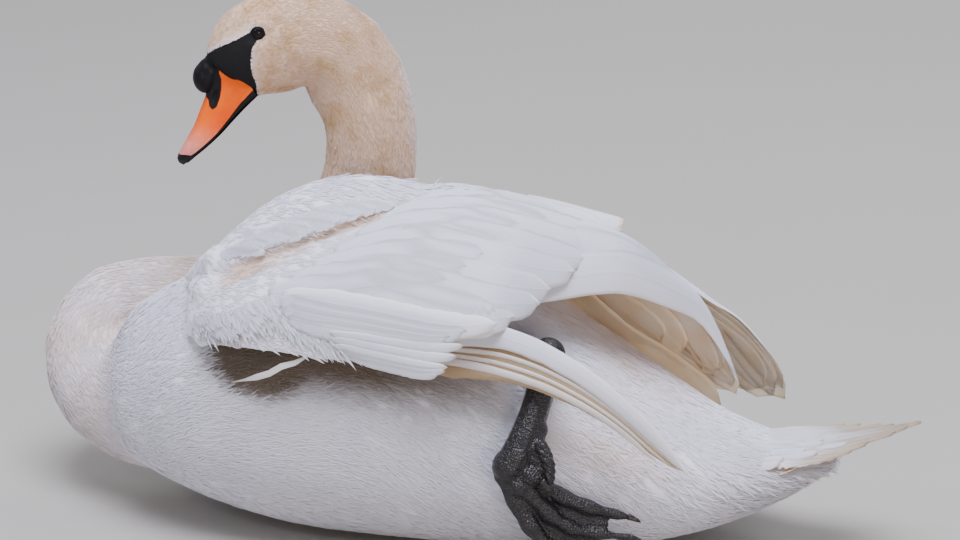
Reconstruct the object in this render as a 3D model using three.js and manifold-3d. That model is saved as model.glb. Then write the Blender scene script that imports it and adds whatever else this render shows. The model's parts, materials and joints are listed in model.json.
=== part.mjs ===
// An adult male mute swan at life size, lying on its belly and looking back over its left shoulder.
// Millimetres, +Z up. The bird faces -X and its left side is towards -Y. It stands on the plane Z = 0.
// Flesh, plumage shells, bill, eyes and feet are closed bodies, each parted from the next by a thin cut.

import * as THREE from "three";
import { mergeVertices } from "three/addons/utils/BufferGeometryUtils.js";
import Module from "manifold-3d";

const wasm = await Module();
wasm.setup();

// ---- Driving sizes ---------------------------------------------------------------------------

const GAP = 0.4; // cut between neighbouring bodies
const FLOOR = 0;
const WELD = 1e-4; // corners nearer than this are one corner

// The middle of the whole bird's box, which is moved to the origin.
const MIDDLE_X = -16.4;
const MIDDLE_Y = 5.57;

const TRUNK_SIDES = 22;
const TRUNK_RINGS = 19;
const TRUNK_FULLNESS = 0.9; // below 1 squares the trunk's cross-section a little

// Trunk, from breast to vent: place along X, bottom, top, half-width, height of the widest line.
const TRUNK = [
  [-376, 92, 134, 12, 112],
  [-352, 58, 178, 58, 112],
  [-310, 36, 214, 94, 114],
  [-250, 16, 238, 124, 114],
  [-170, -3, 260, 141, 115],
  [-80, -9, 272, 148, 115],
  [10, -10, 252, 148, 110],
  [90, -8, 208, 140, 98],
  [160, 0, 163, 122, 84],
  [220, 16, 128, 96, 72],
  [270, 36, 110, 72, 74],
  [310, 58, 104, 50, 82],
  [340, 80, 105, 30, 93],
];

// Neck and head as one bent length: centre, then half-heights above and below it, and half-width.
const SPINE = [
  [-235, 6, 100, 60, 62, 66],
  [-318, 8, 90, 60, 62, 64],
  [-372, 26, 98, 54, 54, 55],
  [-397, 62, 129, 50, 50, 50],
  [-377, 92, 158, 49, 49, 50],
  [-322, 100, 164, 48, 48, 50],
  [-265, 98, 176, 48, 48, 48],
  [-200, 95, 210, 48, 48, 47],
  [-150, 93, 260, 47, 47, 46],
  [-127, 92, 312, 46, 46, 45],
  [-131, 92, 380, 48, 43, 42],
  [-154, 91, 425, 49, 40, 40],
  [-180, 83, 438, 52, 42, 37],
  [-205.5, 75.5, 438.8, 53, 47, 34],
  [-229, 68.3, 429.6, 53, 44, 31],
  [-244.7, 63.5, 418.2, 44, 37, 27],
  [-255.7, 60.2, 406.7, 29, 28, 21],
];
const SPINE_SIDES = 16;
const NECK_CUTS = [3, 8]; // stations where the neck is parted
const HEAD_CUT = 11; // station where the head starts
const RINGS_A_STATION = 2;
const BEND_STEP = 0.02; // share of the spine over which a turn is measured
const CLEAR_OF_TURN = 0.85; // how near a ring may come to the middle of a turn

// Head frame: its turn to the left, and the point on the floor under the middle of the skull.
const HEAD_TURN = THREE.MathUtils.degToRad(197);
const HEAD_FOOT = [-205, 76, 0];

// Bill, in the head's frame: forward place, height, half-height, half-width.
const BILL = [
  [53, 403, 22.5, 21],
  [57.4, 387, 18, 18.5],
  [66, 371, 15.6, 17],
  [75, 357.2, 12.6, 16],
  [85, 345, 10, 15.5],
  [92.7, 335.2, 7.8, 14],
  [97.8, 327, 4.5, 9],
];
const BILL_SPLIT = -0.55; // the mouth line, as a share of the half-height
const BILL_PARTING = 0.04; // how far below that line the lower half starts
const BILL_LOWER_END = 1.6; // stations that the lower half stops short of the tip
const BILL_SIDES = 12;
const BILL_RINGS = 9;
const BILL_CROWN = 0.9; // below 1 squares the bill's ridge
const BILL_FLANK = 0.75; // below 1 squares its sides
const SLOPE_STEP = 0.01; // stations over which its slope is measured
const KNOB = { place: [74, 0, 409], size: [14, 12.5, 17] };
const EYE = { place: [26.2, 22, 456.8], radius: 8 };
const BALL_SIDES = 12;
const BALL_RINGS = 8;

// Tail: place along X, half-width, middle height, half-thickness.
const TAIL = [
  [255, 56, 88, 15],
  [300, 61, 92, 12],
  [340, 56, 101, 8],
  [375, 41, 113, 5],
  [398, 24, 122, 3],
  [414, 7, 129, 1.4],
];
const TAIL_RINGS = 10;
const TAIL_SIDES = 14;
const TAIL_FULLNESS = 0.8;
const TAIL_ROOF = 0.5; // how much its upper and lower faces are ridged

// Wing plumage over each side of the back. Each row: place along X, upper edge (Y, Z),
// lower edge (Y, Z), outward bulge, thickness at the middle of the span.
const LEFT_COVERTS = [
  [-262, -70, 242, -98, 200, 6, 12],
  [-219, -72, 264, -138, 206, 14, 32],
  [-168, -68, 288, -156, 212, 20, 48],
  [-110, -52, 310, -166, 210, 26, 54],
  [-50, -18, 331, -169, 214, 31, 50],
  [0, 8, 331, -169, 226, 32, 36],
  [45, 14, 322, -152, 246, 27, 20],
  [78, 20, 311, -94, 252, 17, 8],
];
const RIGHT_COVERTS = [
  [-232, 152, 206, 166, 172, 5, 10],
  [-190, 150, 238, 180, 162, 12, 20],
  [-150, 145, 262, 186, 156, 18, 28],
  [-100, 108, 288, 188, 152, 28, 40],
  [-60, 22, 325, 188, 150, 40, 46],
  [0, 14, 318, 188, 148, 42, 36],
  [50, 24, 306, 188, 142, 40, 20],
  [100, 46, 286, 188, 132, 36, 8],
];
const RIGHT_TERTIALS = [
  [101, 47, 286, 188, 132, 36, 7],
  [150, 64, 257, 189, 116, 34, 6],
  [200, 106, 196, 186, 100, 28, 6],
  [238, 136, 152, 179, 90, 17, 5],
  [262, 152, 118, 170, 88, 7, 3],
];
const SPAN_POINTS = 8; // along a feather shell's span
const SHELL_RINGS = 10;
const SHELL_EDGE = 1.6; // thickness at a shell's two edges
const SHELL_SWELL = 0.7; // below 1 keeps a shell thick nearer to its edges

// The arch of long inner feathers over the rump: place along X, near edge, crest and far edge (Y, Z).
const LEFT_TERTIALS = [
  [79, -76, 253, 22, 306, 98, 190],
  [110, -46, 251, 26, 292, 106, 160],
  [142, -20, 246, 34, 271, 112, 142],
  [172, 20, 226, 58, 232, 114, 126],
  [203, 66, 190, 88, 184, 114, 108],
  [229, 94, 124, 102, 118, 110, 100],
];
const ARCH_THICKNESS = 5;

// Folded flight feathers: place along X, upper edge (Y, Z), lower edge (Y, Z), thickness.
const LEFT_PRIMARIES = [
  [-70, -140, 228, -148, 214, 6],
  [0, -139, 240, -156, 211, 7],
  [55, -138, 246, -160, 203, 7],
  [109, -144, 229, -163, 189, 6],
  [163, -150, 195, -159, 158, 5],
  [198, -149, 161, -151, 127, 4],
  [223.5, -146, 122, -145, 114, 2],
];
const RIGHT_PRIMARIES = [
  [-30, 166, 160, 178, 132, 6],
  [60, 158, 150, 172, 118, 7],
  [120, 152, 132, 166, 102, 6],
  [180, 145, 108, 155, 82, 5],
  [212, 140, 90, 146, 78, 3],
  [228, 138, 82, 141, 77, 2],
];
const BLADE_SIDES = 10;
const BLADE_FULLNESS = 0.8;

// Long shoulder feathers lying in a hump on each side of the back, in rows as for the coverts.
const LEFT_SCAPULARS = [
  [-246, -42, 274, -74, 258, 4, 9],
  [-200, -26, 314, -86, 278, 10, 26],
  [-150, -16, 338, -84, 300, 12, 34],
  [-100, -8, 343, -68, 318, 9, 30],
  [-52, 0, 335, -36, 326, 5, 12],
];
const RIGHT_SCAPULARS = [
  [-86, 30, 314, 92, 292, 7, 14],
  [-40, 26, 316, 96, 298, 9, 20],
  [10, 28, 310, 92, 292, 9, 18],
  [58, 36, 296, 84, 284, 5, 9],
];

// A feather of the right wing that stands up past the crest of the back.
const STRAY_FEATHER = { root: [52, 44, 298], tip: [131, 58, 284], half: 10, thick: 1.4, lean: 0.35 };
const STRAY_RINGS = 7;
const STRAY_SIDES = 8;
const STRAY_START = 0.12; // where its outline starts and how far it runs, as shares of half a turn
const STRAY_RUN = 0.8;
const STRAY_LEAST = 0.15; // its narrowest half-width, as a share of the widest

// Left leg, trailing behind the body with the foot closed. Toes: knuckle places and their radii.
const TARSUS_LEFT = [[85, -106, 206], [84, -130, 184], [79, -146, 161], [69, -160, 132], [62, -163, 118]];
const TARSUS_RADII = [15, 13.5, 13.5, 15.5, 16.5];
const TOES_LEFT = [
  [[64, -160, 120], [96, -152, 95], [132, -147, 80], [174, -135, 68]],
  [[61, -166, 117], [88, -165, 88], [115, -156, 63], [177, -139, 50]],
  [[58, -164, 115], [78, -168, 74], [100, -162, 43], [138, -150, 14]],
];
const HALLUX_LEFT = [[72, -174, 128], [90, -176, 118], [99, -173, 108]];

// Right leg, folded beside the belly with the foot flat on the floor.
const TARSUS_RIGHT = [[124, 112, 56], [104, 126, 46], [64, 140, 29], [36, 145, 18], [18, 146, 12]];
const TOES_RIGHT = [
  [[18, 146, 9], [-22, 128, 7], [-60, 116, 7], [-98, 108, 5]],
  [[18, 148, 9], [-26, 146, 7], [-70, 146, 7], [-118, 148, 5]],
  [[18, 150, 9], [-20, 162, 7], [-58, 174, 7], [-94, 184, 5]],
];
const HALLUX_RIGHT = [[30, 142, 14], [44, 136, 9], [54, 132, 6]];
const TOE_RADII = [11, 9, 7, 2.2];
const HALLUX_RADII = [6, 5, 1.8];
const WEB_THICKNESS = 2.4;
const WEB_START = 0.08;
const WEB_END = 0.8;
const WEB_RINGS = 5;
const LIMB_SIDES = 9;
const LIMB_STEPS = 8;
const TOE_SIDES = 6;
const TOE_STEPS = 7;
const HALLUX_STEPS = 4;

const FINISHES = {
  plumage: { color: 0xf2efec, roughness: 0.9 },
  buff: { color: 0xe6d9c6, roughness: 0.9 },
  orange: { color: 0xe8641c, roughness: 0.45 },
  black: { color: 0x1b1b1f, roughness: 0.5 },
  eye: { color: 0x0c0a0a, roughness: 0.08 },
  foot: { color: 0x2a282b, roughness: 0.45 },
};

// ---- Tools -----------------------------------------------------------------------------------

const vec = (place) => new THREE.Vector3(...place);

/** Reads rows of stations at any place from the first to the last, along a smooth curve. */
function stations(rows) {
  const places = rows.map((row) => row[0]);
  const values = rows.flatMap((row) => row.slice(1));
  const curve = new THREE.CubicInterpolant(places, values, rows[0].length - 1);
  return (place) => Array.from(curve.evaluate(place));
}

/** Evenly spaced numbers from start to end, both included. */
function spread(start, end, count) {
  return Array.from({ length: count }, (_, i) => THREE.MathUtils.lerp(start, end, i / (count - 1)));
}

/** A superellipse's sine or cosine: 1 keeps the ellipse, less squares it. */
const rounded = (value, fullness) => Math.sign(value) * Math.abs(value) ** fullness;

/** Swaps a geometry's faces round if they point inwards. */
function facingOut(geometry) {
  const at = geometry.attributes.position;
  const index = geometry.index.array;
  const corners = [new THREE.Vector3(), new THREE.Vector3(), new THREE.Vector3()];
  let volume = 0;
  for (let i = 0; i < index.length; i += 3) {
    corners.forEach((corner, k) => corner.fromBufferAttribute(at, index[i + k]));
    volume += corners[0].dot(corners[1].cross(corners[2]));
  }
  if (volume < 0) geometry.setIndex(Array.from(index).reverse());
  return geometry;
}

/** A closed body over rings of as many points each, with a cap on both ends. */
function loft(rings) {
  const sides = rings[0].length;
  const centre = (ring) => ring.reduce((sum, p) => sum.add(p), vec([0, 0, 0])).divideScalar(sides);
  const points = [...rings.flat(), centre(rings[0]), centre(rings.at(-1))];
  const first = points.length - 2;
  const index = [];
  for (let s = 0; s < sides; s++) {
    const next = (s + 1) % sides;
    for (let r = 0; r + 1 < rings.length; r++) {
      const a = r * sides;
      index.push(a + s, a + next, a + next + sides, a + s, a + next + sides, a + s + sides);
    }
    const last = (rings.length - 1) * sides;
    index.push(first, next, s, first + 1, last + s, last + next);
  }
  const geometry = new THREE.BufferGeometry().setFromPoints(points).setIndex(index);
  return facingOut(geometry);
}

/** The rings of a round tube along a smooth curve through the given places. */
function tubeRings(places, radii, sides, steps) {
  const curve = new THREE.CatmullRomCurve3(places.map(vec));
  const radius = stations(radii.map((value, i) => [i / (radii.length - 1), value]));
  const frames = curve.computeFrenetFrames(steps, false);
  return spread(0, 1, steps + 1).map((u, i) => {
    const centre = curve.getPointAt(u);
    const [size] = radius(curve.getUtoTmapping(u));
    return spread(0, 2 * Math.PI, sides + 1).slice(1).map((angle) => centre.clone()
      .addScaledVector(frames.normals[i], size * Math.cos(angle))
      .addScaledVector(frames.binormals[i], size * Math.sin(angle)));
  });
}

/** A copy of a closed geometry with only its places, its shared corners merged. */
function bare(geometry) {
  const copy = geometry.clone();
  copy.deleteAttribute("normal");
  copy.deleteAttribute("uv");
  return mergeVertices(copy, WELD);
}

/** A geometry as a solid that can be cut and joined. */
function solid(geometry) {
  const merged = bare(geometry);
  const mesh = new wasm.Mesh({
    numProp: 3,
    vertProperties: new Float32Array(merged.attributes.position.array),
    triVerts: new Uint32Array(merged.index.array),
  });
  return new wasm.Manifold(mesh);
}

/** A solid as a geometry that a mesh can show. */
function geometryOf(body) {
  const mesh = body.getMesh();
  const places = new THREE.BufferAttribute(new Float32Array(mesh.vertProperties), mesh.numProp);
  const geometry = new THREE.BufferGeometry().setAttribute("position", places);
  geometry.setIndex(Array.from(mesh.triVerts));
  geometry.computeVertexNormals();
  return geometry;
}

/** A geometry grown outwards all over, to cut its neighbour with room to spare. */
function grown(geometry, by) {
  const merged = bare(geometry);
  merged.computeVertexNormals();
  const at = merged.attributes.position;
  const out = merged.attributes.normal;
  for (let i = 0; i < at.count; i++) {
    const place = new THREE.Vector3().fromBufferAttribute(at, i);
    place.addScaledVector(new THREE.Vector3().fromBufferAttribute(out, i), by);
    at.setXYZ(i, place.x, place.y, place.z);
  }
  return merged;
}

/** The largest piece of a geometry once the others, each a little grown, are cut out of it. */
function cut(geometry, others) {
  let body = solid(geometry);
  for (const other of others) body = body.subtract(solid(grown(other, GAP)));
  const pieces = body.decompose().sort((a, b) => b.volume() - a.volume());
  return geometryOf(pieces[0]);
}

/** Several overlapping geometries as one body. */
function joined(geometries) {
  return geometryOf(geometries.map(solid).reduce((all, one) => all.add(one)));
}

/** Keeps every point on or above the floor. */
function onFloor(point) {
  point.z = Math.max(point.z, FLOOR);
  return point;
}

// ---- Trunk -----------------------------------------------------------------------------------

/** The body from breast to vent, flat where the belly is pressed on the floor. */
function trunkShape() {
  const read = stations(TRUNK);
  const rings = spread(TRUNK[0][0], TRUNK.at(-1)[0], TRUNK_RINGS).map((x) => {
    const [bottom, top, half, waist] = read(x);
    return spread(0, 2 * Math.PI, TRUNK_SIDES + 1).slice(1).map((angle) => {
      const side = rounded(Math.cos(angle), TRUNK_FULLNESS);
      const rise = rounded(Math.sin(angle), TRUNK_FULLNESS);
      const reach = rise > 0 ? top - waist : waist - bottom;
      return onFloor(vec([x, half * side, waist + reach * rise]));
    });
  });
  return loft(rings);
}

/** The wedge of the closed tail. */
function tailShape() {
  const read = stations(TAIL);
  const rings = spread(TAIL[0][0], TAIL.at(-1)[0], TAIL_RINGS).map((x) => {
    const [half, middle, thick] = read(x);
    return spread(0, 2 * Math.PI, TAIL_SIDES + 1).slice(1).map((angle) => vec([
      x,
      half * rounded(Math.cos(angle), TAIL_FULLNESS),
      middle + thick * (Math.sin(angle) + TAIL_ROOF * Math.sin(angle) ** 2),
    ]));
  });
  return loft(rings);
}

// ---- Neck and head ---------------------------------------------------------------------------

/** The bill's and the skull's left, which steadies every section of the neck. */
const LEFT = new THREE.Vector3(Math.sin(-HEAD_TURN), Math.cos(HEAD_TURN), 0);

/** How sharply a curve turns at t, as a vector towards the middle of the turn, in 1/mm. */
function bendOf(curve, t) {
  const [before, after] = [Math.max(t - BEND_STEP, 0), Math.min(t + BEND_STEP, 1)];
  const run = curve.getPoint(before).distanceTo(curve.getPoint(after));
  return curve.getTangent(after).sub(curve.getTangent(before)).divideScalar(run);
}

/** Holds the inner side of a ring short of the middle of a tight turn, where rings would cross. */
function uncrossed(offset, bend) {
  const sharpness = bend.length();
  const inward = bend.clone().divideScalar(sharpness);
  const past = offset.dot(inward) - CLEAR_OF_TURN / sharpness;
  return past > 0 ? offset.addScaledVector(inward, -past) : offset;
}

/** The sections of the neck and head, from the skull back, each turned no more than the neck is. */
function spineSections() {
  const curve = new THREE.CatmullRomCurve3(SPINE.map((row) => vec(row.slice(0, 3))));
  const read = stations(SPINE.map((row, i) => [i, ...row.slice(3)]));
  const count = (SPINE.length - 1) * RINGS_A_STATION;
  const side = LEFT.clone();
  const sections = [];
  for (let i = count; i >= 0; i--) {
    const along = curve.getTangent(i / count);
    side.addScaledVector(along, -side.dot(along)).normalize();
    const up = new THREE.Vector3().crossVectors(along, side);
    const centre = curve.getPoint(i / count);
    const bend = bendOf(curve, i / count);
    const [above, below, half] = read(i / RINGS_A_STATION);
    const ring = spread(0, 2 * Math.PI, SPINE_SIDES + 1).slice(1).map((angle) => {
      const rise = Math.sin(angle);
      const offset = side.clone().multiplyScalar(half * Math.cos(angle));
      offset.addScaledVector(up, rise * (rise > 0 ? above : below));
      return uncrossed(offset, bend).add(centre);
    });
    sections.unshift({ along, ring });
  }
  return sections;
}
const SECTIONS = spineSections();

/** One length of the neck and head, between two stations of the spine, short of the last by a cut. */
function spineLength(from, to) {
  const sections = SECTIONS.slice(from * RINGS_A_STATION, to * RINGS_A_STATION + 1);
  const rings = sections.map(({ ring }) => ring.map((point) => point.clone()));
  rings[0].forEach((point) => point.addScaledVector(sections[0].along, from > 0 ? GAP : 0));
  return loft(rings);
}

/** Moves a geometry from the head's own frame to the bird's. */
function onHead(geometry) {
  return geometry.rotateZ(HEAD_TURN).translate(...HEAD_FOOT);
}

/** A rounded body such as the knob or an eye, in the head's frame. */
function ball([q, p, z], [a, b, c]) {
  return onHead(new THREE.SphereGeometry(1, BALL_SIDES, BALL_RINGS).scale(a, b, c).translate(q, p, z));
}

/** One half of the bill, between two heights given as shares of its half-height. */
function billShape(low, high, length) {
  const read = stations(BILL.map((row, i) => [i, ...row]));
  const rings = spread(0, length, BILL_RINGS).map((station) => {
    const [q, z, tall, half] = read(station);
    const [nextQ, nextZ] = read(Math.min(station + SLOPE_STEP, BILL.length - 1));
    const [lastQ, lastZ] = read(Math.max(station - SLOPE_STEP, 0));
    const slope = new THREE.Vector2(nextQ - lastQ, nextZ - lastZ).normalize();
    return spread(0, 2 * Math.PI, BILL_SIDES + 1).slice(1).map((angle) => {
      const rise = THREE.MathUtils.clamp(rounded(Math.sin(angle), BILL_CROWN), low, high);
      const side = half * rounded(Math.cos(angle), BILL_FLANK);
      return vec([q - slope.y * tall * rise, side, z + slope.x * tall * rise]);
    });
  });
  return onHead(loft(rings));
}

// ---- Wings -----------------------------------------------------------------------------------

/** A shell of plumage: a bowed skin between two edges, thickest in the middle of its span. */
function shell(rows) {
  const read = stations(rows);
  const outward = Math.sign(rows[1][3] - rows[1][1]);
  const rings = spread(rows[0][0], rows.at(-1)[0], SHELL_RINGS).map((x) => {
    const [y0, z0, y1, z1, bulge, thick] = read(x);
    const along = new THREE.Vector2(y1 - y0, z1 - z0).normalize();
    const out = new THREE.Vector2(-along.y, along.x).multiplyScalar(outward);
    const point = (share, depth) => {
      const bow = 4 * bulge * share * (1 - share) - depth;
      return vec([
        x,
        THREE.MathUtils.lerp(y0, y1, share) + out.x * bow,
        THREE.MathUtils.lerp(z0, z1, share) + out.y * bow,
      ]);
    };
    const shares = spread(0, 1, SPAN_POINTS);
    const swell = (share) => Math.max(Math.sin(Math.PI * share), 0) ** SHELL_SWELL;
    const depth = (share) => SHELL_EDGE + (thick - SHELL_EDGE) * swell(share);
    const outer = shares.map((share) => point(share, 0));
    const inner = shares.map((share) => point(share, depth(share)));
    return [...outer, ...inner.reverse()];
  });
  return loft(rings);
}

/** A thin arch through a near edge, a crest and a far edge at each place along X. */
function archShape(rows) {
  const read = stations(rows);
  const rings = spread(rows[0][0], rows.at(-1)[0], SHELL_RINGS).map((x) => {
    const [y0, z0, yc, zc, y1, z1] = read(x);
    const bend = (a, c, b) => 2 * c - (a + b) / 2;
    const curve = new THREE.QuadraticBezierCurve(
      new THREE.Vector2(y0, z0),
      new THREE.Vector2(bend(y0, yc, y1), bend(z0, zc, z1)),
      new THREE.Vector2(y1, z1),
    );
    const shares = spread(0, 1, SPAN_POINTS);
    const outer = shares.map((share) => curve.getPoint(share));
    const inner = shares.map((share, i) => {
      const along = curve.getTangent(share);
      return outer[i].clone().add(new THREE.Vector2(along.y, -along.x).multiplyScalar(ARCH_THICKNESS));
    });
    return [...outer, ...inner.reverse()].map((p) => vec([x, p.x, p.y]));
  });
  return loft(rings);
}

/** A flat blade of folded flight feathers. */
function bladeShape(rows) {
  const read = stations(rows);
  const rings = spread(rows[0][0], rows.at(-1)[0], SHELL_RINGS).map((x) => {
    const [y0, z0, y1, z1, thick] = read(x);
    const along = new THREE.Vector2(y1 - y0, z1 - z0);
    const out = new THREE.Vector2(-along.y, along.x).normalize();
    return spread(0, 2 * Math.PI, BLADE_SIDES + 1).slice(1).map((angle) => {
      const share = 0.5 + 0.5 * rounded(Math.cos(angle), BLADE_FULLNESS);
      const off = (thick / 2) * Math.sin(angle);
      return vec([x, y0 + along.x * share + out.x * off, z0 + along.y * share + out.y * off]);
    });
  });
  return loft(rings);
}

/** One flat feather from root to tip, widest past its middle. */
function featherShape({ root, tip, half, thick, lean }) {
  const [from, to] = [vec(root), vec(tip)];
  const rings = spread(0, 1, STRAY_RINGS).map((share) => {
    const swell = Math.sin(Math.PI * (STRAY_START + share * STRAY_RUN));
    const wide = half * Math.max(swell, STRAY_LEAST);
    const centre = from.clone().lerp(to, share);
    const face = vec([0, -1, lean]).normalize();
    const edge = vec([0, lean, 1]).normalize();
    return spread(0, 2 * Math.PI, STRAY_SIDES + 1).slice(1).map((angle) => centre.clone()
      .addScaledVector(edge, wide * Math.cos(angle))
      .addScaledVector(face, thick * Math.sin(angle)));
  });
  return loft(rings);
}

// ---- Legs ------------------------------------------------------------------------------------

/** A round limb through the given places, kept on or above the floor. */
function limb(places, radii, sides, steps) {
  return loft(tubeRings(places, radii, sides, steps).map((ring) => ring.map(onFloor)));
}

/** A thin web between two toes, given by their knuckle places. */
function webShape(one, other) {
  const [a, b] = [one, other].map((places) => new THREE.CatmullRomCurve3(places.map(vec)));
  const rings = spread(WEB_START, WEB_END, WEB_RINGS).map((t) => {
    const [from, to] = [a.getPointAt(t), b.getPointAt(t)];
    const across = to.clone().sub(from);
    const thin = new THREE.Vector3().crossVectors(across, a.getTangentAt(t)).setLength(WEB_THICKNESS / 2);
    const middle = from.clone().lerp(to, 0.5);
    return [
      from.clone().add(thin), middle.clone().add(thin), to.clone().add(thin),
      to.clone().sub(thin), middle.clone().sub(thin), from.clone().sub(thin),
    ].map(onFloor);
  });
  return loft(rings);
}

/** A whole foot: three webbed toes and the small hind toe. */
function footShape(toes, hallux) {
  const digits = toes.map((toe) => limb(toe, TOE_RADII, TOE_SIDES, TOE_STEPS));
  const hind = limb(hallux, HALLUX_RADII, TOE_SIDES, HALLUX_STEPS);
  const webs = [webShape(toes[0], toes[1]), webShape(toes[1], toes[2])];
  return joined([...digits, hind, ...webs]);
}

/** The shank from the heel joint to the toes. */
function tarsusShape(places) {
  return limb(places, TARSUS_RADII, LIMB_SIDES, LIMB_STEPS);
}

// ---- The whole bird ---------------------------------------------------------------------------

const neckLower = spineLength(0, NECK_CUTS[0]);
const neckMiddle = cut(spineLength(NECK_CUTS[0], NECK_CUTS[1]), [neckLower]);
const neckUpper = spineLength(NECK_CUTS[1], HEAD_CUT);
const neck = [neckLower, neckMiddle, neckUpper];

const eyes = [1, -1].map((side) => {
  const [q, p, z] = EYE.place;
  return ball([q, p * side, z], [EYE.radius, EYE.radius, EYE.radius]);
});
const knob = ball(KNOB.place, KNOB.size);
const skull = spineLength(HEAD_CUT, SPINE.length - 1);
const head = cut(skull, [...eyes, knob]);
const upperJaw = billShape(BILL_SPLIT, 1, BILL.length - 1);
const billUpper = cut(upperJaw, [knob, skull]);
const billLower = cut(billShape(-1, BILL_SPLIT - BILL_PARTING, BILL.length - BILL_LOWER_END), [upperJaw, skull]);

const trunk = cut(trunkShape(), neck);
const tail = cut(tailShape(), [trunkShape()]);

const tarsusLeft = cut(tarsusShape(TARSUS_LEFT), [trunk]);
const footLeft = cut(footShape(TOES_LEFT, HALLUX_LEFT), [tarsusLeft, trunk]);
const tarsusRight = cut(tarsusShape(TARSUS_RIGHT), [trunk]);
const footRight = cut(footShape(TOES_RIGHT, HALLUX_RIGHT), [tarsusRight, trunk]);

const flesh = [trunkShape(), ...neck];
const primariesLeft = cut(bladeShape(LEFT_PRIMARIES), [...flesh, tarsusLeft, footLeft]);
const primariesRight = cut(bladeShape(RIGHT_PRIMARIES), [...flesh, tarsusRight]);
const scapularsLeft = cut(shell(LEFT_SCAPULARS), flesh);
const scapularsRight = cut(shell(RIGHT_SCAPULARS), flesh);
const covertsLeft = cut(shell(LEFT_COVERTS), [...flesh, primariesLeft, scapularsLeft, tarsusLeft]);
const tertialsLeft = cut(archShape(LEFT_TERTIALS), [...flesh, covertsLeft, tarsusLeft]);
const covertsRight = cut(shell(RIGHT_COVERTS), [
  ...flesh, primariesRight, scapularsRight, covertsLeft, scapularsLeft, tertialsLeft,
]);
const tertialsRight = cut(shell(RIGHT_TERTIALS), [...flesh, covertsRight, primariesRight, tertialsLeft]);
const strayRight = cut(featherShape(STRAY_FEATHER), [
  covertsRight, covertsLeft, tertialsLeft, tertialsRight, scapularsRight,
]);

const swan = new THREE.Group();
swan.position.set(-MIDDLE_X, -MIDDLE_Y, FLOOR);

/** Adds one named piece in one of the finishes. */
function add(name, geometry, finish) {
  const mesh = new THREE.Mesh(geometry, new THREE.MeshStandardMaterial(FINISHES[finish]));
  mesh.name = name;
  swan.add(mesh);
}

add("trunk", trunk, "plumage");
add("neck_lower", neckLower, "buff");
add("neck_middle", neckMiddle, "buff");
add("neck_upper", neckUpper, "buff");
add("head", head, "buff");
add("bill_upper", billUpper, "orange");
add("bill_lower", billLower, "black");
add("bill_knob", knob, "black");
add("eye_left", eyes[0], "eye");
add("eye_right", eyes[1], "eye");
add("tail", tail, "plumage");
add("wing_left_coverts", covertsLeft, "plumage");
add("wing_left_scapulars", scapularsLeft, "plumage");
add("wing_left_tertials", tertialsLeft, "plumage");
add("wing_left_primaries", primariesLeft, "plumage");
add("wing_right_coverts", covertsRight, "plumage");
add("wing_right_scapulars", scapularsRight, "plumage");
add("wing_right_tertials", tertialsRight, "plumage");
add("wing_right_primaries", primariesRight, "plumage");
add("wing_right_stray_feather", strayRight, "plumage");
add("leg_left_tarsus", tarsusLeft, "foot");
add("leg_left_foot", footLeft, "foot");
add("leg_right_tarsus", tarsusRight, "foot");
add("leg_right_foot", footRight, "foot");

export default swan;
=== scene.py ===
"""A life-size mute swan lying on its belly, dressed over the frame's bodies. Everything is in metres.

The tables of sizes are in millimetres in the frame's own axes: the bird faces -X, its left side is towards
-Y and +Z is up. Bill, eyes and lids are laid out in the head's own frame: forward, to its left, and up.
"""

import json
import logging
import math
from dataclasses import dataclass, replace
from enum import Enum

import bmesh
import bpy
import numpy as np
from bmesh.types import BMesh
from bpy.types import Collection, ID, Material, Mesh, Node, NodeSocket, NodeTree, Object
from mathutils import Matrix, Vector
from mathutils.bvhtree import BVHTree

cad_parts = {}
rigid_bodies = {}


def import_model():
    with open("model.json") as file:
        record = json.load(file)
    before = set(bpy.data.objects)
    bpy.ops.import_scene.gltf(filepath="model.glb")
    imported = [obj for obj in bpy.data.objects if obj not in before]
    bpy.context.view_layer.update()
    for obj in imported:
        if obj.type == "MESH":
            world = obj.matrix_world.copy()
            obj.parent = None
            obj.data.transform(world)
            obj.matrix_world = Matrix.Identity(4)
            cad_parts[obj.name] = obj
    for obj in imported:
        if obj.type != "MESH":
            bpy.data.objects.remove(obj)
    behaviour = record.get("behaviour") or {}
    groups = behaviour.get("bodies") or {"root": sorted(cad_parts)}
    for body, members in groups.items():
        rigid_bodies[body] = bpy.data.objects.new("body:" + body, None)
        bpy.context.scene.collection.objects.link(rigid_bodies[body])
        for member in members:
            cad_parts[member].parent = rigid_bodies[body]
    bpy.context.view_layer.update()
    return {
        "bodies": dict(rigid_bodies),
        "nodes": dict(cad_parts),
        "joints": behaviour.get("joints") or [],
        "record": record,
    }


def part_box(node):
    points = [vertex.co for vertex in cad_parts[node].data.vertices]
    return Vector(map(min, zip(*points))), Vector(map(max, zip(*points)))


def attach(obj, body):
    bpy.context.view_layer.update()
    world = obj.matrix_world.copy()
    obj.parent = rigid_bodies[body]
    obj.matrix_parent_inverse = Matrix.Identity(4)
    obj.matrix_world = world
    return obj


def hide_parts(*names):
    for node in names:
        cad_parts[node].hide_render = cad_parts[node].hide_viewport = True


LOG = logging.getLogger("swan")
MM = 0.001
BODY = "root"
BLOCK = 4000  # how many places are compared at a time
FULL_TURN = 2 * math.pi

Pair = tuple[float, float]
Place = tuple[float, float, float]
Ball = tuple[float, float, float, float]  # a place and a radius, in millimetres
Oval = tuple[float, float, float, float]  # the middle and the half-sizes
Rows = tuple[tuple[float, ...], ...]
Array = np.ndarray


# ---- Arithmetic ----


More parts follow.
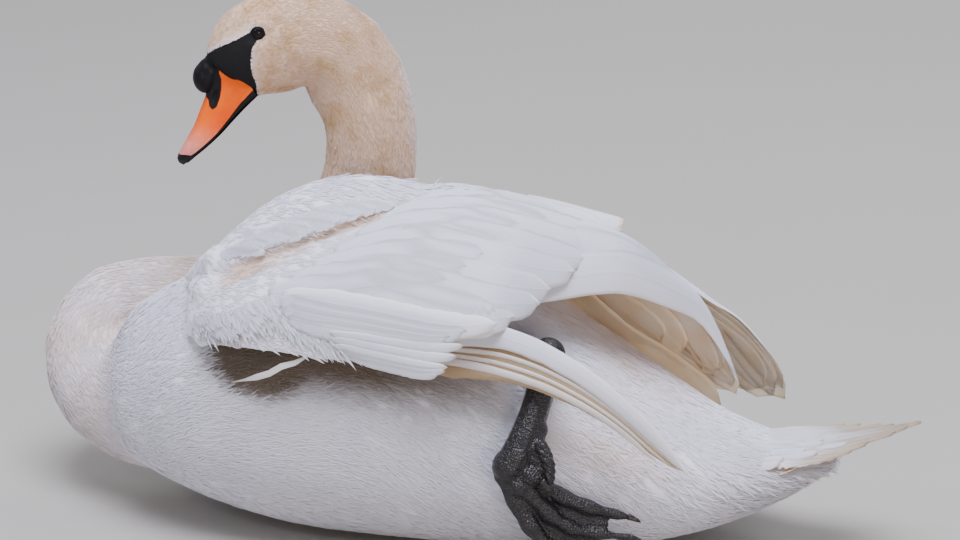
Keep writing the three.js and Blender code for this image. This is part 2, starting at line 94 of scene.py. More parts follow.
def smooth_rows(rows: Rows | Array, places: Array) -> Array:
    """Reads rows of stations, first column the place, along a smooth curve.

    Args:
        rows: one row a station, in rising order of its first number.
        places: where to read.

    Returns:
        One row a place, with the remaining columns.
    """
    table = np.array(rows, float)
    x, values = table[:, 0], table[:, 1:]
    slopes = np.gradient(values, x, axis=0)
    at = np.clip(np.searchsorted(x, places) - 1, 0, len(x) - 2)
    width = (x[at + 1] - x[at])[:, None]
    t = ((places - x[at])[:, None]) / width
    inside = np.clip(t, 0.0, 1.0)
    a, b = values[at], values[at + 1]
    run_a, run_b = slopes[at] * width, slopes[at + 1] * width
    curve = (
        (2 * inside**3 - 3 * inside**2 + 1) * a
        + (inside**3 - 2 * inside**2 + inside) * run_a
        + (3 * inside**2 - 2 * inside**3) * b
        + (inside**3 - inside**2) * run_b
    )
    return curve + (t - inside) * np.where(t > 1, run_b, run_a)


def bent(first: Array, pull: Array, last: Array, s: Array) -> Array:
    """Places at shares s of the bow from first to last that a third place pulls out."""
    return (1 - s) ** 2 * first + 2 * s * (1 - s) * pull + s**2 * last


def unit(vectors: Array) -> Array:
    """Vectors along the last axis, each made one long."""
    length = np.linalg.norm(vectors, axis=-1, keepdims=True)
    return vectors / np.maximum(length, 1e-12)


def laid_flat(directions: Array, normals: Array) -> Array:
    """Directions turned into the surface that has these normals."""
    return unit(directions - normals * (directions * normals).sum(axis=1)[:, None])


def ramp(value: Array, low: float, high: float) -> Array:
    """A smooth step from 0 at low to 1 at high."""
    t = np.clip((value - low) / (high - low), 0.0, 1.0)
    return t * t * (3 - 2 * t)


def window(value: Array, rise: Pair, fall: Pair) -> Array:
    """1 between a rising and a falling smooth step, 0 outside them."""
    return ramp(value, *rise) * (1 - ramp(value, *fall))


def power(value: Array, bend: float) -> Array:
    """A number's size to a power, with its sign kept."""
    return np.sign(value) * np.abs(value) ** bend


def distances_run(corners: Array) -> Array:
    """How far along a line each of its corners is."""
    return np.concatenate([[0.0], np.cumsum(np.linalg.norm(np.diff(corners, axis=0), axis=1))])


def nearest_of(points: Array, line: Array) -> Array:
    """The number of the line's place that is nearest to each point."""
    best = np.empty(len(points), int)
    for start in range(0, len(points), BLOCK):
        gap = ((points[start:start + BLOCK, None] - line[None]) ** 2).sum(axis=2)
        best[start:start + BLOCK] = gap.argmin(axis=1)
    return best


def depth_in(polygon: Rows, points: Array) -> Array:
    """Distance to a flat polygon's edge, positive inside it.

    Args:
        polygon: corners in order.
        points: places, two numbers each.

    Returns:
        The signed distance of each place.
    """
    corners = np.array(polygon, float)
    nearest = np.full(len(points), np.inf)
    inside = np.zeros(len(points), bool)
    for a, b in zip(corners, np.roll(corners, -1, axis=0)):
        edge = b - a
        off = points - a
        share = np.clip(off @ edge / (edge @ edge), 0.0, 1.0)
        nearest = np.minimum(nearest, np.linalg.norm(off - share[:, None] * edge, axis=1))
        if a[1] != b[1]:
            crosses = (a[1] > points[:, 1]) != (b[1] > points[:, 1])
            inside ^= crosses & (points[:, 0] < edge[0] * (points[:, 1] - a[1]) / edge[1] + a[0])
    return np.where(inside, nearest, -nearest)


# ---- Meshes ----


def linked(piece: Object) -> Object:
    """Links an object to the scene and gives it back."""
    bpy.context.scene.collection.objects.link(piece)
    return piece


def mesh_object(name: str, places: Array, faces: Array) -> Object:
    """Makes a smooth-shaded object from arrays.

    Args:
        name: the object's name.
        places: corner places in metres.
        faces: faces of equal length, as rows of corner numbers.

    Returns:
        The object, linked to the scene.
    """
    mesh = bpy.data.meshes.new(name)
    mesh.from_pydata(places.tolist(), [], faces.tolist())
    mesh.polygons.foreach_set("use_smooth", np.ones(len(mesh.polygons), bool))
    mesh.update()
    return linked(bpy.data.objects.new(name, mesh))


def sheet_faces(rows: int, columns: int, closed: bool) -> Array:
    """The four-sided faces of a grid of points.

    Args:
        rows: how many rows.
        columns: how many points a row.
        closed: whether each row runs round to its own start.

    Returns:
        One row of corner numbers a face.
    """
    last = columns if closed else columns - 1
    row, column = np.meshgrid(np.arange(rows - 1), np.arange(last), indexing="ij")
    a = row * columns + column
    b = row * columns + (column + 1) % columns
    return np.stack([a, b, b + columns, a + columns], axis=-1).reshape(-1, 4)


def places_of(mesh: Mesh) -> Array:
    """The places of a mesh's corners as an array."""
    flat = np.empty(len(mesh.vertices) * 3, np.float64)
    mesh.vertices.foreach_get("co", flat)
    return flat.reshape(-1, 3)


def normals_of(mesh: Mesh) -> Array:
    """The outward directions at a mesh's corners as an array."""
    flat = np.empty(len(mesh.vertices) * 3, np.float32)
    mesh.vertex_normals.foreach_get("vector", flat)
    return flat.reshape(-1, 3).astype(float)


def set_places(mesh: Mesh, places: Array) -> None:
    """Moves a mesh's corners."""
    mesh.vertices.foreach_set("co", places.astype(np.float32).ravel())
    mesh.update()


def set_numbers(mesh: Mesh, **layers: Array) -> None:
    """Stores one number a corner under each name."""
    for name, values in layers.items():
        layer = mesh.attributes.new(name, "FLOAT", "POINT")
        layer.data.foreach_set("value", values.astype(np.float32))


def set_arrows(mesh: Mesh, **layers: Array) -> None:
    """Stores one direction a corner under each name."""
    for name, values in layers.items():
        layer = mesh.attributes.new(name, "FLOAT_VECTOR", "POINT")
        layer.data.foreach_set("vector", values.astype(np.float32).ravel())


def set_map(mesh: Mesh, name: str, flat: Array) -> None:
    """Stores a flat map, given one place a corner."""
    corners = np.empty(len(mesh.loops), np.int32)
    mesh.loops.foreach_get("vertex_index", corners)
    layer = mesh.uv_layers.new(name=name)
    layer.data.foreach_set("uv", flat[corners].astype(np.float32).ravel())


def inset(share: Array) -> Array:
    """Shares of a map's side, kept a hundredth away from its borders."""
    return share * 0.98 + 0.01


def settled(piece: Object) -> Object:
    """Turns an object with modifiers into a plain mesh.

    Args:
        piece: the object, which is taken away.

    Returns:
        A new object of the same name with the finished mesh.
    """
    name = piece.name
    graph = bpy.context.evaluated_depsgraph_get()
    mesh = bpy.data.meshes.new_from_object(piece.evaluated_get(graph), depsgraph=graph)
    bpy.data.objects.remove(piece)
    mesh.name = name
    return linked(bpy.data.objects.new(name, mesh))


def merged_copy(frame: dict, nodes: tuple[str, ...], grow: float) -> BMesh:
    """Copies of several nodes in one mesh, their loose triangles merged.

    Args:
        nodes: the nodes' names.
        grow: how far each is grown outwards first.

    Returns:
        The joined copy.
    """
    joined = bmesh.new()
    for node in nodes:
        one = bmesh.new()
        one.from_mesh(frame["nodes"][node].data)
        bmesh.ops.remove_doubles(one, verts=one.verts, dist=1e-6)
        one.normal_update()
        for corner in one.verts:
            corner.co += corner.normal * grow
        copy = bpy.data.meshes.new("copy")
        one.to_mesh(copy)
        one.free()
        joined.from_mesh(copy)
        bpy.data.meshes.remove(copy)
    return joined


def add_balls(body: BMesh, balls: tuple[Ball, ...]) -> None:
    """Adds closed balls to a mesh, to round a joint off once they are fused."""
    for *place, radius in balls:
        made = bmesh.ops.create_icosphere(body, subdivisions=3, radius=radius * MM)["verts"]
        bmesh.ops.translate(body, verts=made, vec=Vector(place) * MM)


def fused(name: str, body: BMesh, voxel: float, smoothing: int) -> Object:
    """Fuses overlapping closed shapes into one even, softened, smooth-shaded mesh.

    Args:
        name: the new object's name.
        body: the shapes, which are freed.
        voxel: the grain of the new mesh.
        smoothing: how many times it is smoothed.

    Returns:
        The fused object.
    """
    mesh = bpy.data.meshes.new(name)
    body.to_mesh(mesh)
    body.free()
    piece = linked(bpy.data.objects.new(name, mesh))
    remesh = piece.modifiers.new("fuse", "REMESH")
    remesh.mode = "VOXEL"
    remesh.voxel_size = voxel
    remesh.use_smooth_shade = True
    soften = piece.modifiers.new("soften", "SMOOTH")
    soften.factor = 0.5
    soften.iterations = smoothing
    return settled(piece)


def closed_out(mesh: Mesh) -> None:
    """Fills a mesh's open ends and turns its faces outwards."""
    body = bmesh.new()
    body.from_mesh(mesh)
    bmesh.ops.remove_doubles(body, verts=body.verts, dist=1e-7)
    bmesh.ops.holes_fill(body, edges=[edge for edge in body.edges if edge.is_boundary], sides=0)
    bmesh.ops.recalc_face_normals(body, faces=body.faces)
    for face in body.faces:
        face.smooth = True
    body.to_mesh(mesh)
    body.free()


def spread_over(mesh: Mesh, values: Array, times: int) -> Array:
    """Evens out values over a mesh by averaging each corner with its neighbours.

    Args:
        mesh: the mesh.
        values: one number or one row a corner.
        times: how often.

    Returns:
        The evened values.
    """
    flat = np.empty(len(mesh.edges) * 2, np.int32)
    mesh.edges.foreach_get("vertices", flat)
    a, b = flat.reshape(-1, 2).T
    size = len(values)
    count = np.bincount(np.concatenate([a, b]), minlength=size)[:, None] + 1.0
    out = values.reshape(size, -1).astype(float)
    for _ in range(times):
        total = out.copy()
        for k in range(out.shape[1]):
            total[:, k] += np.bincount(a, out[b, k], size) + np.bincount(b, out[a, k], size)
        out = total / count
    return out.reshape(values.shape)


def seated(piece: Object, nodes: tuple[str, ...], finish: "Finish | None" = None) -> Object:
    """Puts a finished piece on the bird's body.

    Args:
        piece: the piece.
        nodes: the nodes that it takes the place of.
        finish: what dresses it, unless it is dressed already.

    Returns:
        The piece.
    """
    if finish:
        piece.data.materials.append(finish.material())
    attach(piece, BODY)
    if nodes:
        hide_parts(*nodes)
    LOG.info("%s: %d faces", piece.name, len(piece.data.polygons))
    return piece


# ---- The bird's own axes ----


@dataclass(frozen=True)
class HeadFrame:
    """The head's own axes: forward along the bill, to its left, and up, in millimetres."""

    foot: Pair = (-188.6, 70.43)
    turn: float = math.radians(197.0)

    def local(self, places: Array) -> Array:
        """Places in the frame's metres as head millimetres."""
        x = places[:, 0] / MM - self.foot[0]
        y = places[:, 1] / MM - self.foot[1]
        c, s = math.cos(self.turn), math.sin(self.turn)
        return np.stack([x * c + y * s, y * c - x * s, places[:, 2] / MM], axis=1)

    def placed(self, local: Array) -> Array:
        """Head millimetres as places in the frame's metres."""
        c, s = math.cos(self.turn), math.sin(self.turn)
        x = local[:, 0] * c - local[:, 1] * s + self.foot[0]
        y = local[:, 0] * s + local[:, 1] * c + self.foot[1]
        return np.stack([x, y, local[:, 2]], axis=1) * MM


@dataclass(frozen=True)
class BodyLine:
    """The line from the brow down the neck and through the trunk to the tail, which the coat follows."""

    neck: Rows = (
        (-239.3, 54.6, 406.7), (-228.3, 57.9, 418.2), (-212.6, 62.7, 429.6), (-189.1, 69.9, 438.8),
        (-163.6, 77.4, 438), (-137.6, 85.4, 425), (-114.6, 86.4, 380), (-110.6, 86.4, 312),
        (-133.6, 87.4, 260), (-183.6, 89.4, 210), (-248.6, 92.4, 176), (-305.6, 94.4, 164),
        (-360.6, 86.4, 158), (-380.6, 56.4, 129), (-355.6, 20.4, 98), (-301.6, 2.4, 90),
    )
    trunk: Rows = (
        (-235, 0, 118), (-140, 0, 126), (-50, 0, 128), (40, 0, 118), (110, 0, 104),
        (180, 0, 88), (240, 0, 76), (290, 0, 80), (330, 0, 92), (380, 0, 108),
    )
    step: float = 6.0 * MM

    def nearest(self, points: Array) -> tuple[Array, Array, Array]:
        """Finds what the line does next to each point.

        Args:
            points: places in metres.

        Returns:
            The nearest place on the line, its direction towards the tail and its distance from the brow.
        """
        corners = np.array(self.neck + self.trunk) * MM
        run = distances_run(corners)
        along = np.arange(0.0, run[-1], self.step)
        places = smooth_rows(np.column_stack([run, corners]), along)
        directions = unit(np.gradient(places, axis=0))
        best = nearest_of(points, places)
        return places[best], directions[best], along[best]


HEAD = HeadFrame()
LINE = BodyLine()


# ---- Finishes ----


Colour = tuple[float, float, float, float]
EDGE_REACH = 8.0  # how far from a marking's edge its stored distance still changes, in millimetres


def marking(depth: Array) -> Array:
    """A distance inside a marking, in millimetres, as the number that finishes read: 0.5 on its edge."""
    return np.clip(depth / EDGE_REACH + 0.5, 0.0, 1.0)


def opaque(red: float, green: float, blue: float) -> Colour:
    """A colour with nothing seen through it."""
    return (red, green, blue, 1.0)


class Graph:
    """Adds nodes to a node tree and wires them."""

    def __init__(self, tree: NodeTree) -> None:
        """Takes the tree to build in."""
        self.tree = tree

    def add(self, kind: str, settings: dict | None = None, **inputs: object) -> Node:
        """Adds a node.

        Args:
            kind: the node's type.
            settings: its own options.
            inputs: values or sockets, by input name with spaces as underscores, or by number as i0, i1.

        Returns:
            The node.
        """
        node = self.tree.nodes.new(kind)
        for key, value in (settings or {}).items():
            setattr(node, key, value)
        self.feed(node, **inputs)
        return node

    def feed(self, node: Node, **inputs: object) -> None:
        """Wires outputs to a node's inputs, or sets the inputs' own values."""
        for key, value in inputs.items():
            numbered = key[0] == "i" and key[1:].isdigit()
            socket = node.inputs[int(key[1:]) if numbered else key.replace("_", " ")]
            if isinstance(value, Node):
                value = value.outputs[0]
            if isinstance(value, NodeSocket):
                self.tree.links.new(value, socket)
            else:
                socket.default_value = value

    def math(self, operation: str, a: object, b: object = 0.0) -> NodeSocket:
        """One sum on two numbers."""
        return self.add("ShaderNodeMath", {"operation": operation}, i0=a, i1=b).outputs[0]

    def plus(self, a: object, b: object) -> NodeSocket:
        """Two numbers added up."""
        return self.math("ADD", a, b)

    def less(self, a: object, b: object) -> NodeSocket:
        """A number less another."""
        return self.math("SUBTRACT", a, b)

    def times(self, a: object, b: object) -> NodeSocket:
        """Two numbers multiplied."""
        return self.math("MULTIPLY", a, b)

    def steps(self, value: object, low: float, high: float) -> NodeSocket:
        """A smooth step of a number between two limits."""
        return self.add("ShaderNodeMapRange", {"interpolation_type": "SMOOTHSTEP"},
                        Value=value, i1=low, i2=high).outputs[0]


class Paint(Graph):
    """The node tree of one finish, with its shader and the coordinates that its patterns lie in."""

    def __init__(self, made: Material) -> None:
        """Takes the material to build in."""
        super().__init__(made.node_tree)
        self.shader = made.node_tree.nodes["Principled BSDF"]
        self.where = self.add("ShaderNodeTexCoord").outputs["Object"]

    def give(self, **inputs: object) -> None:
        """Feeds the shader's own inputs."""
        self.feed(self.shader, **inputs)

    def bump(self, strength: float, distance: float, height: object) -> None:
        """Raises the surface by a height that runs from 0 to about 1."""
        raised = self.add("ShaderNodeBump", Strength=strength, Distance=distance, Height=height)
        self.give(Normal=raised)

    def glow(self, weight: float, radius: Place) -> None:
        """Lets light into the surface, as far as the radius says for red, green and blue."""
        self.give(Subsurface_Weight=weight, Subsurface_Radius=radius, Subsurface_Scale=1.0)

    def mix(self, share: object, a: object, b: object) -> NodeSocket:
        """A colour between two colours."""
        return self.add("ShaderNodeMix", {"data_type": "RGBA"}, i0=share, i6=a, i7=b).outputs[2]

    def layer(self, name: str) -> NodeSocket:
        """A stored number of the mesh."""
        return self.add("ShaderNodeAttribute", {"attribute_name": name}).outputs["Fac"]

    def noise(self, scale: float, detail: float, where: object = None) -> NodeSocket:
        """Soft noise from 0 to 1 at a scale in waves a metre."""
        return self.add("ShaderNodeTexNoise", Vector=self.where if where is None else where,
                        Scale=scale, Detail=detail).outputs[0]

    def cells(self, scale: float) -> NodeSocket:
        """Distance from the middles of small cells, so many a metre."""
        return self.add("ShaderNodeTexVoronoi", Vector=self.where, Scale=scale).outputs["Distance"]

    def ragged(self, name: str, scale: float, amount: float) -> NodeSocket:
        """A marking with a crisp, slightly ragged edge, from a stored distance that is 0.5 on that edge.

        Args:
            name: the stored distance.
            scale: how fine the edge's raggedness is, in waves a metre.
            amount: how far it strays, in the distance's own measure.

        Returns:
            1 inside the marking, 0 outside.
        """
        stray = self.times(self.less(self.noise(scale, 3.0), 0.5), amount)
        return self.steps(self.plus(self.layer(name), stray), 0.48, 0.52)


@dataclass(frozen=True)
class Finish:
    """What every finish shares: a name, a roughness, a gloss and how deep its relief is, in metres."""

    name: str
    roughness: float
    gloss: float = 0.5
    relief: float = 0.0005

    def material(self) -> Material:
        """Builds the material once, and hands the same one out after that."""
        made = bpy.data.materials.get(self.name)
        if made is None:
            made = bpy.data.materials.new(self.name)
            made.use_nodes = True
            paint = Paint(made)
            paint.give(Roughness=self.roughness, Specular_IOR_Level=self.gloss)
            self.wire(paint)
        return made

    def wire(self, paint: Paint) -> None:
        """Wires the finish's own nodes; a plain finish has none."""


@dataclass(frozen=True)
class Plumage(Finish):
    """White plumage, tinted by a stored number: cream above nothing, painted shade below it, with a fine
    hairy grain.
    """

    white: Colour = opaque(0.85, 0.845, 0.93)
    shade: Colour = opaque(0.80, 0.795, 0.89)
    cream: Colour = opaque(0.71, 0.485, 0.33)
    # painted shade: the dark brown of the hollow, of the shade under the left wing and low on the belly
    painted_shade_brown: Colour = opaque(0.145, 0.112, 0.080)
    stain: Colour = opaque(0.58, 0.365, 0.185)
    dark: Colour = opaque(0.008, 0.008, 0.009)
    patch_scale: float = 17.0
    stain_scale: float = 48.0
    grain_scale: float = 420.0
    hair_scale: float = 1500.0
    least_cream: float = 0.86
    grain_shade: float = 0.10
    sheen: float = 0.15
    edge_scale: float = 700.0

    def wire(self, paint: Paint) -> None:
        """Colours by the stored number: cream and stain above nothing, painted shade below it, then by the
        bare black mask.
        """
        patches = paint.noise(self.patch_scale, 3.0)
        grain = paint.noise(self.grain_scale, 3.0)
        stains = paint.steps(paint.noise(self.stain_scale, 6.0), 0.45, 0.70)
        buff = paint.layer("buff")
        strength = paint.plus(paint.steps(patches, 0.3, 0.72), self.least_cream)
        white = paint.mix(paint.steps(patches, 0.35, 0.7), self.white, self.shade)
        # the cream here also paints shade in the wing's fold and tan shade on the lower back under the arch
        coat = paint.mix(paint.times(paint.math("MAXIMUM", buff, 0.0), strength), white,
                         paint.mix(stains, self.cream, self.stain))
        # painted shade where the stored number is below nothing
        coat = paint.mix(paint.math("MAXIMUM", paint.times(buff, -1.0), 0.0), coat, self.painted_shade_brown)
        coat = paint.mix(paint.times(paint.steps(grain, 0.55, 0.75), self.grain_shade), coat, self.shade)
        mask = paint.ragged("mask", self.edge_scale, 0.35)
        paint.give(Base_Color=paint.mix(mask, coat, self.dark),
                   Sheen_Weight=paint.times(paint.less(1.0, mask), self.sheen))
        paint.bump(0.35, self.relief, paint.plus(paint.times(grain, 0.6), paint.noise(self.hair_scale, 2.0)))
        paint.glow(0.30, (0.006, 0.005, 0.004))


@dataclass(frozen=True)
class Vane(Finish):
    """Flight feathers: white above; below, painted tan light as though lit through them, a little see-through
    looking, and painted shade deeper in; with barbs and a shaft.
    """

    white: Colour = opaque(0.865, 0.86, 0.94)
    # painted light: the two underside colours paint light through the feathers and the deep colour paints
    # shade under them; the stain colour also paints shade under the tail
    painted_warm_light: Colour = opaque(0.95, 0.78, 0.55)
    edge: Colour = opaque(0.92, 0.66, 0.38)
    deep: Colour = opaque(0.28, 0.175, 0.095)
    stain: Colour = opaque(0.42, 0.31, 0.22)
    painted_rim_glow: float = 0.14
    barbs: float = 260.0
    barb_slant: float = 0.18
    mottle_scale: float = 34.0
    streak_scale: float = 1.6
    streak_stretch: Place = (2.4, 1.3, 60.0)  # across and along the feather, and across the bird

    def wire(self, paint: Paint) -> None:
        """Colours by which side is seen, with painted light below and at the rim and painted shade deeper
        under, then by stains and painted shade where the stored number asks, and raises the barbs.
        """
        flat = paint.add("ShaderNodeUVMap", {"uv_map": "Vane"})
        side, length = paint.add("ShaderNodeSeparateXYZ", Vector=flat).outputs[0:2]
        across = paint.math("ABSOLUTE", side)
        under = paint.layer("under")
        # painted light: the rim glows tan as though lit through, and the underside is painted tan light,
        # mottled
        rim = paint.steps(across, 0.72, 1.02)
        top = paint.mix(paint.times(rim, self.painted_rim_glow), self.white, self.painted_warm_light)
        low = paint.mix(paint.steps(paint.noise(self.mottle_scale, 4.0), 0.3, 0.75), self.painted_warm_light, self.edge)
        colour = paint.mix(paint.steps(under, 0.0, 1.0), top, low)
        # painted shade: past 1 the stored number darkens the underside towards the deep colour
        colour = paint.mix(paint.steps(under, 1.0, 2.0), colour, self.deep)
        over = paint.add("ShaderNodeSeparateXYZ", Vector=paint.where).outputs[1]
        ways = zip((side, length, over), self.streak_stretch)
        x, y, z = (paint.times(way, stretch) for way, stretch in ways)
        streaks = paint.noise(self.streak_scale, 4.0, paint.add("ShaderNodeCombineXYZ", X=x, Y=y, Z=z))
        # stains, and painted shade under the tail and in the hollow, in streaks
        stain_and_shade_share = paint.plus(paint.times(paint.steps(streaks, 0.42, 0.62), 0.5), 0.5)
        paint.give(Base_Color=paint.mix(paint.times(paint.layer("soil"), stain_and_shade_share), colour, self.stain))
        slant = paint.plus(length, paint.times(across, self.barb_slant))
        wave = paint.math("SINE", paint.times(slant, self.barbs))
        shaft = paint.less(1.0, paint.steps(across, 0.02, 0.10))
        paint.bump(0.35, self.relief, paint.plus(paint.times(wave, 0.12), paint.times(shaft, 0.8)))
        paint.glow(0.45, (0.010, 0.0072, 0.0045))


@dataclass(frozen=True)
class BareSkin(Finish):
    """Bare black skin of lores, knob and lids: matt, finely pitted."""

    colour: Colour = opaque(0.007, 0.007, 0.008)
    worn: Colour = opaque(0.022, 0.022, 0.025)
    wear_scale: float = 220.0
    pit_scale: float = 900.0
    fold_scale: float = 400.0

    def wire(self, paint: Paint) -> None:
        """Two scales of pits and a faint wear."""
        wear = paint.steps(paint.noise(self.wear_scale, 5.0), 0.5, 0.8)
        paint.give(Base_Color=paint.mix(wear, self.colour, self.worn))
        pits = paint.plus(paint.cells(self.pit_scale), paint.noise(self.fold_scale, 4.0))
        paint.bump(0.45, self.relief, pits)


@dataclass(frozen=True)
class BillHorn(Finish):
    """The bill's sheath: orange, paler and pinker to the tip, black on its edge, nail and nostril."""

    orange: Colour = opaque(1.0, 0.145, 0.0)
    deep: Colour = opaque(0.90, 0.088, 0.0)
    pink: Colour = opaque(0.72, 0.27, 0.25)
    black: Colour = opaque(0.012, 0.011, 0.012)
    scuff: Colour = opaque(0.86, 0.38, 0.24)
    scuffing: float = 0.25
    roughest: Pair = (0.42, 0.62)
    streak_scale: float = 160.0
    patch_scale: float = 45.0
    grain_scale: float = 700.0
    edge_scale: float = 500.0

    def wire(self, paint: Paint) -> None:
        """Mixes the stored pink and black over the orange, with streaks along the sheath."""
        streaks = paint.noise(self.streak_scale, 6.0)
        patches = paint.steps(paint.noise(self.patch_scale, 3.0), 0.35, 0.7)
        orange = paint.mix(patches, self.orange, self.deep)
        pale = paint.mix(paint.steps(streaks, 0.45, 0.75), self.pink, self.scuff)
        colour = paint.mix(paint.layer("pale"), orange, pale)
        colour = paint.mix(paint.times(paint.steps(streaks, 0.62, 0.8), self.scuffing), colour, self.scuff)
        rough = paint.add("ShaderNodeMapRange", Value=streaks, i3=self.roughest[0], i4=self.roughest[1])
        black = paint.ragged("mask", self.edge_scale, 0.08)
        paint.give(Base_Color=paint.mix(black, colour, self.black), Roughness=rough)
        grain = paint.times(paint.noise(self.grain_scale, 3.0), 0.5)
        paint.bump(0.25, self.relief, paint.plus(streaks, grain))
        paint.glow(0.08, (0.004, 0.0015, 0.001))


@dataclass(frozen=True)
class EyeGlass(Finish):
    """A dark brown, wet eye."""

    pupil: Colour = opaque(0.004, 0.003, 0.003)
    iris: Colour = opaque(0.008, 0.005, 0.004)
    wetness: float = 0.32
    iris_scale: float = 1800.0
    pupil_edge: Pair = (0.42, 0.52)

    def wire(self, paint: Paint) -> None:
        """A near-black pupil in a brown iris, by the stored distance from the eye's axis."""
        flecks = paint.steps(paint.noise(self.iris_scale, 3.0), 0.3, 0.7)
        iris = paint.mix(flecks, self.iris, self.pupil)
        ring = paint.steps(paint.layer("ring"), *self.pupil_edge)
        paint.give(Base_Color=paint.mix(ring, self.pupil, iris), Coat_Weight=self.wetness,
                   Coat_Roughness=0.04)


@dataclass(frozen=True)
class FootSkin(Finish):
    """Leathery black foot skin in small scales, with a soft gloss."""

    colour: Colour = opaque(0.010, 0.009, 0.010)
    worn: Colour = opaque(0.026, 0.022, 0.024)
    rings: float = 0.95
    large_scales: float = 430.0
    small_scales: float = 1300.0
    wear_scale: float = 60.0

    def wire(self, paint: Paint) -> None:
        """Scales of two sizes, paler on top, and rings of scutes where the stored number asks for them."""
        top = paint.less(1.0, paint.steps(paint.cells(self.large_scales), 0.1, 0.62))
        wear = paint.times(top, paint.steps(paint.noise(self.wear_scale, 4.0), 0.4, 0.75))
        paint.give(Base_Color=paint.mix(wear, self.colour, self.worn))
        ring = paint.math("ABSOLUTE", paint.math("SINE", paint.times(paint.layer("run"), self.rings)))
        ring = paint.times(paint.steps(ring, 0.0, 0.5), paint.layer("scute"))
        small = paint.times(paint.cells(self.small_scales), -0.35)
        paint.bump(0.7, self.relief, paint.plus(paint.plus(top, small), ring))


@dataclass(frozen=True)
class ClawHorn(Finish):
    """Dark claws, streaked along their length."""

    colour: Colour = opaque(0.018, 0.016, 0.016)
    worn: Colour = opaque(0.13, 0.11, 0.095)
    streak_scale: float = 300.0

    def wire(self, paint: Paint) -> None:
        """Faint wear and a fine grain."""
        streaks = paint.noise(self.streak_scale, 5.0)
        paint.give(Base_Color=paint.mix(paint.steps(streaks, 0.5, 0.8), self.colour, self.worn))
        paint.bump(0.3, self.relief, streaks)


@dataclass(frozen=True)
class FloorPaint(Finish):
    """The plain pale floor."""

    paint: Colour = opaque(0.43, 0.415, 0.385)
    worn: Colour = opaque(0.40, 0.385, 0.355)
    cloud_scale: float = 1.5

    def wire(self, paint: Paint) -> None:
        """A barely seen cloudiness."""
        paint.give(Base_Color=paint.mix(paint.noise(self.cloud_scale, 3.0), self.paint, self.worn))


PLUMAGE = Plumage("plumage", 0.85, 0.25, 0.0008)
VANE = Vane("flight feathers", 0.62, 0.3, 0.0006)
BARE = BareSkin("bare black skin", 0.46, 0.14)
HORN = BillHorn("bill sheath", 0.4, 0.14, 0.0006)
GLASS = EyeGlass("wet eye", 0.08, 0.08)
FOOT = FootSkin("foot skin", 0.24, relief=0.0009)
CLAW = ClawHorn("claw horn", 0.35, relief=0.0004)
FLOOR = FloorPaint("floor", 0.8)


# ---- Skin ----


@dataclass(frozen=True)
class Face:
    """Where the bare black mask, the bill and the eyes lie on the head, as forward and height."""

    mask: Rows = (
        (30.5, 461.5), (34.8, 457.4), (43.6, 452.4), (52.5, 447.6), (59.7, 443.7), (65.9, 440), (71.2, 435.3),
        (76, 429), (92, 405), (60, 378), (30, 386), (27, 392.5), (27.6, 398.9), (28.3, 406.7),
        (29.7, 411.6), (32.2, 417.4), (33.1, 425), (33.6, 433.7), (32.4, 440.9), (31, 446), (26.5, 450.6),
    )
    sheath: Rows = (
        (27.8, 394), (30.5, 401), (40, 409), (47.4, 413.4), (60.6, 422), (72, 426), (84, 420), (84, 385),
        (40, 378),
    )
    bill_root: Place = (76.0, 0.0, 404.0)
    eye: Place = (26.2, 19.6, 456.8)
    eye_radius: float = 8.0
    socket_depth: float = 1.8
    socket_edge: Pair = (4.8, 6.4)
    lid_rise: float = 5.8
    lid_share: float = 0.75
    lid_edge: Pair = (7.5, 13.0)
    lid_shadow: float = 6.8
    brow: Oval = (27.0, 466.5, 12.0, 3.6)
    brow_rise: float = 1.1
    seat_depth: float = 4.4
    seat_edge: Pair = (-0.6, 1.6)
    cheek: float = 12.0  # everything this far from the middle is on a side
    lowest_eye: float = 440.0
    half_length: float = 110.0
    half_width: float = 60.0
    bottom: float = 360.0

    def mask_depth(self, local: Array) -> Array:
        """How far inside the black mask each place is, in millimetres."""
        return depth_in(self.mask, local[:, [0, 2]])

    def from_eye(self, local: Array) -> Array:
        """Distance of each place from the nearer eye's axis, seen from the side."""
        return np.hypot(local[:, 0] - self.eye[0], local[:, 2] - self.eye[2])

    def holds(self, local: Array) -> Array:
        """1 for places on the head, 0 elsewhere."""
        forward, across, height = np.abs(local).T
        inside = (forward < self.half_length) & (across < self.half_width) & (height > self.bottom)
        return inside.astype(float)

    def shaped(self, local: Array) -> Array:
        """Sinks the eye sockets and the bill's seat, and raises lids and brow, on places of the skin."""
        out = local.copy()
        width = np.abs(local[:, 1])
        outer = self.holds(local) * (width > self.cheek)
        high = outer * (local[:, 2] > self.lowest_eye)
        from_eye = self.from_eye(local)
        socket = self.eye[1] + np.sqrt(np.maximum(self.eye_radius**2 - from_eye**2, 0.0)) - self.socket_depth
        level = self.lid_share * (1 - ramp(from_eye, *self.lid_edge)) * high
        width = width + (self.eye[1] + self.lid_rise - width) * level
        width = width + (np.minimum(socket, width) - width) * (1 - ramp(from_eye, *self.socket_edge)) * high
        x, z, half_x, half_z = self.brow
        brow = np.exp(-(((local[:, 0] - x) / half_x) ** 2) - ((local[:, 2] - z) / half_z) ** 2)
        width = width + self.brow_rise * brow * outer
        seat = ramp(depth_in(self.sheath, local[:, [0, 2]]), *self.seat_edge)
        out[:, 1] = np.sign(local[:, 1]) * (width - self.seat_depth * seat * outer)
        return out


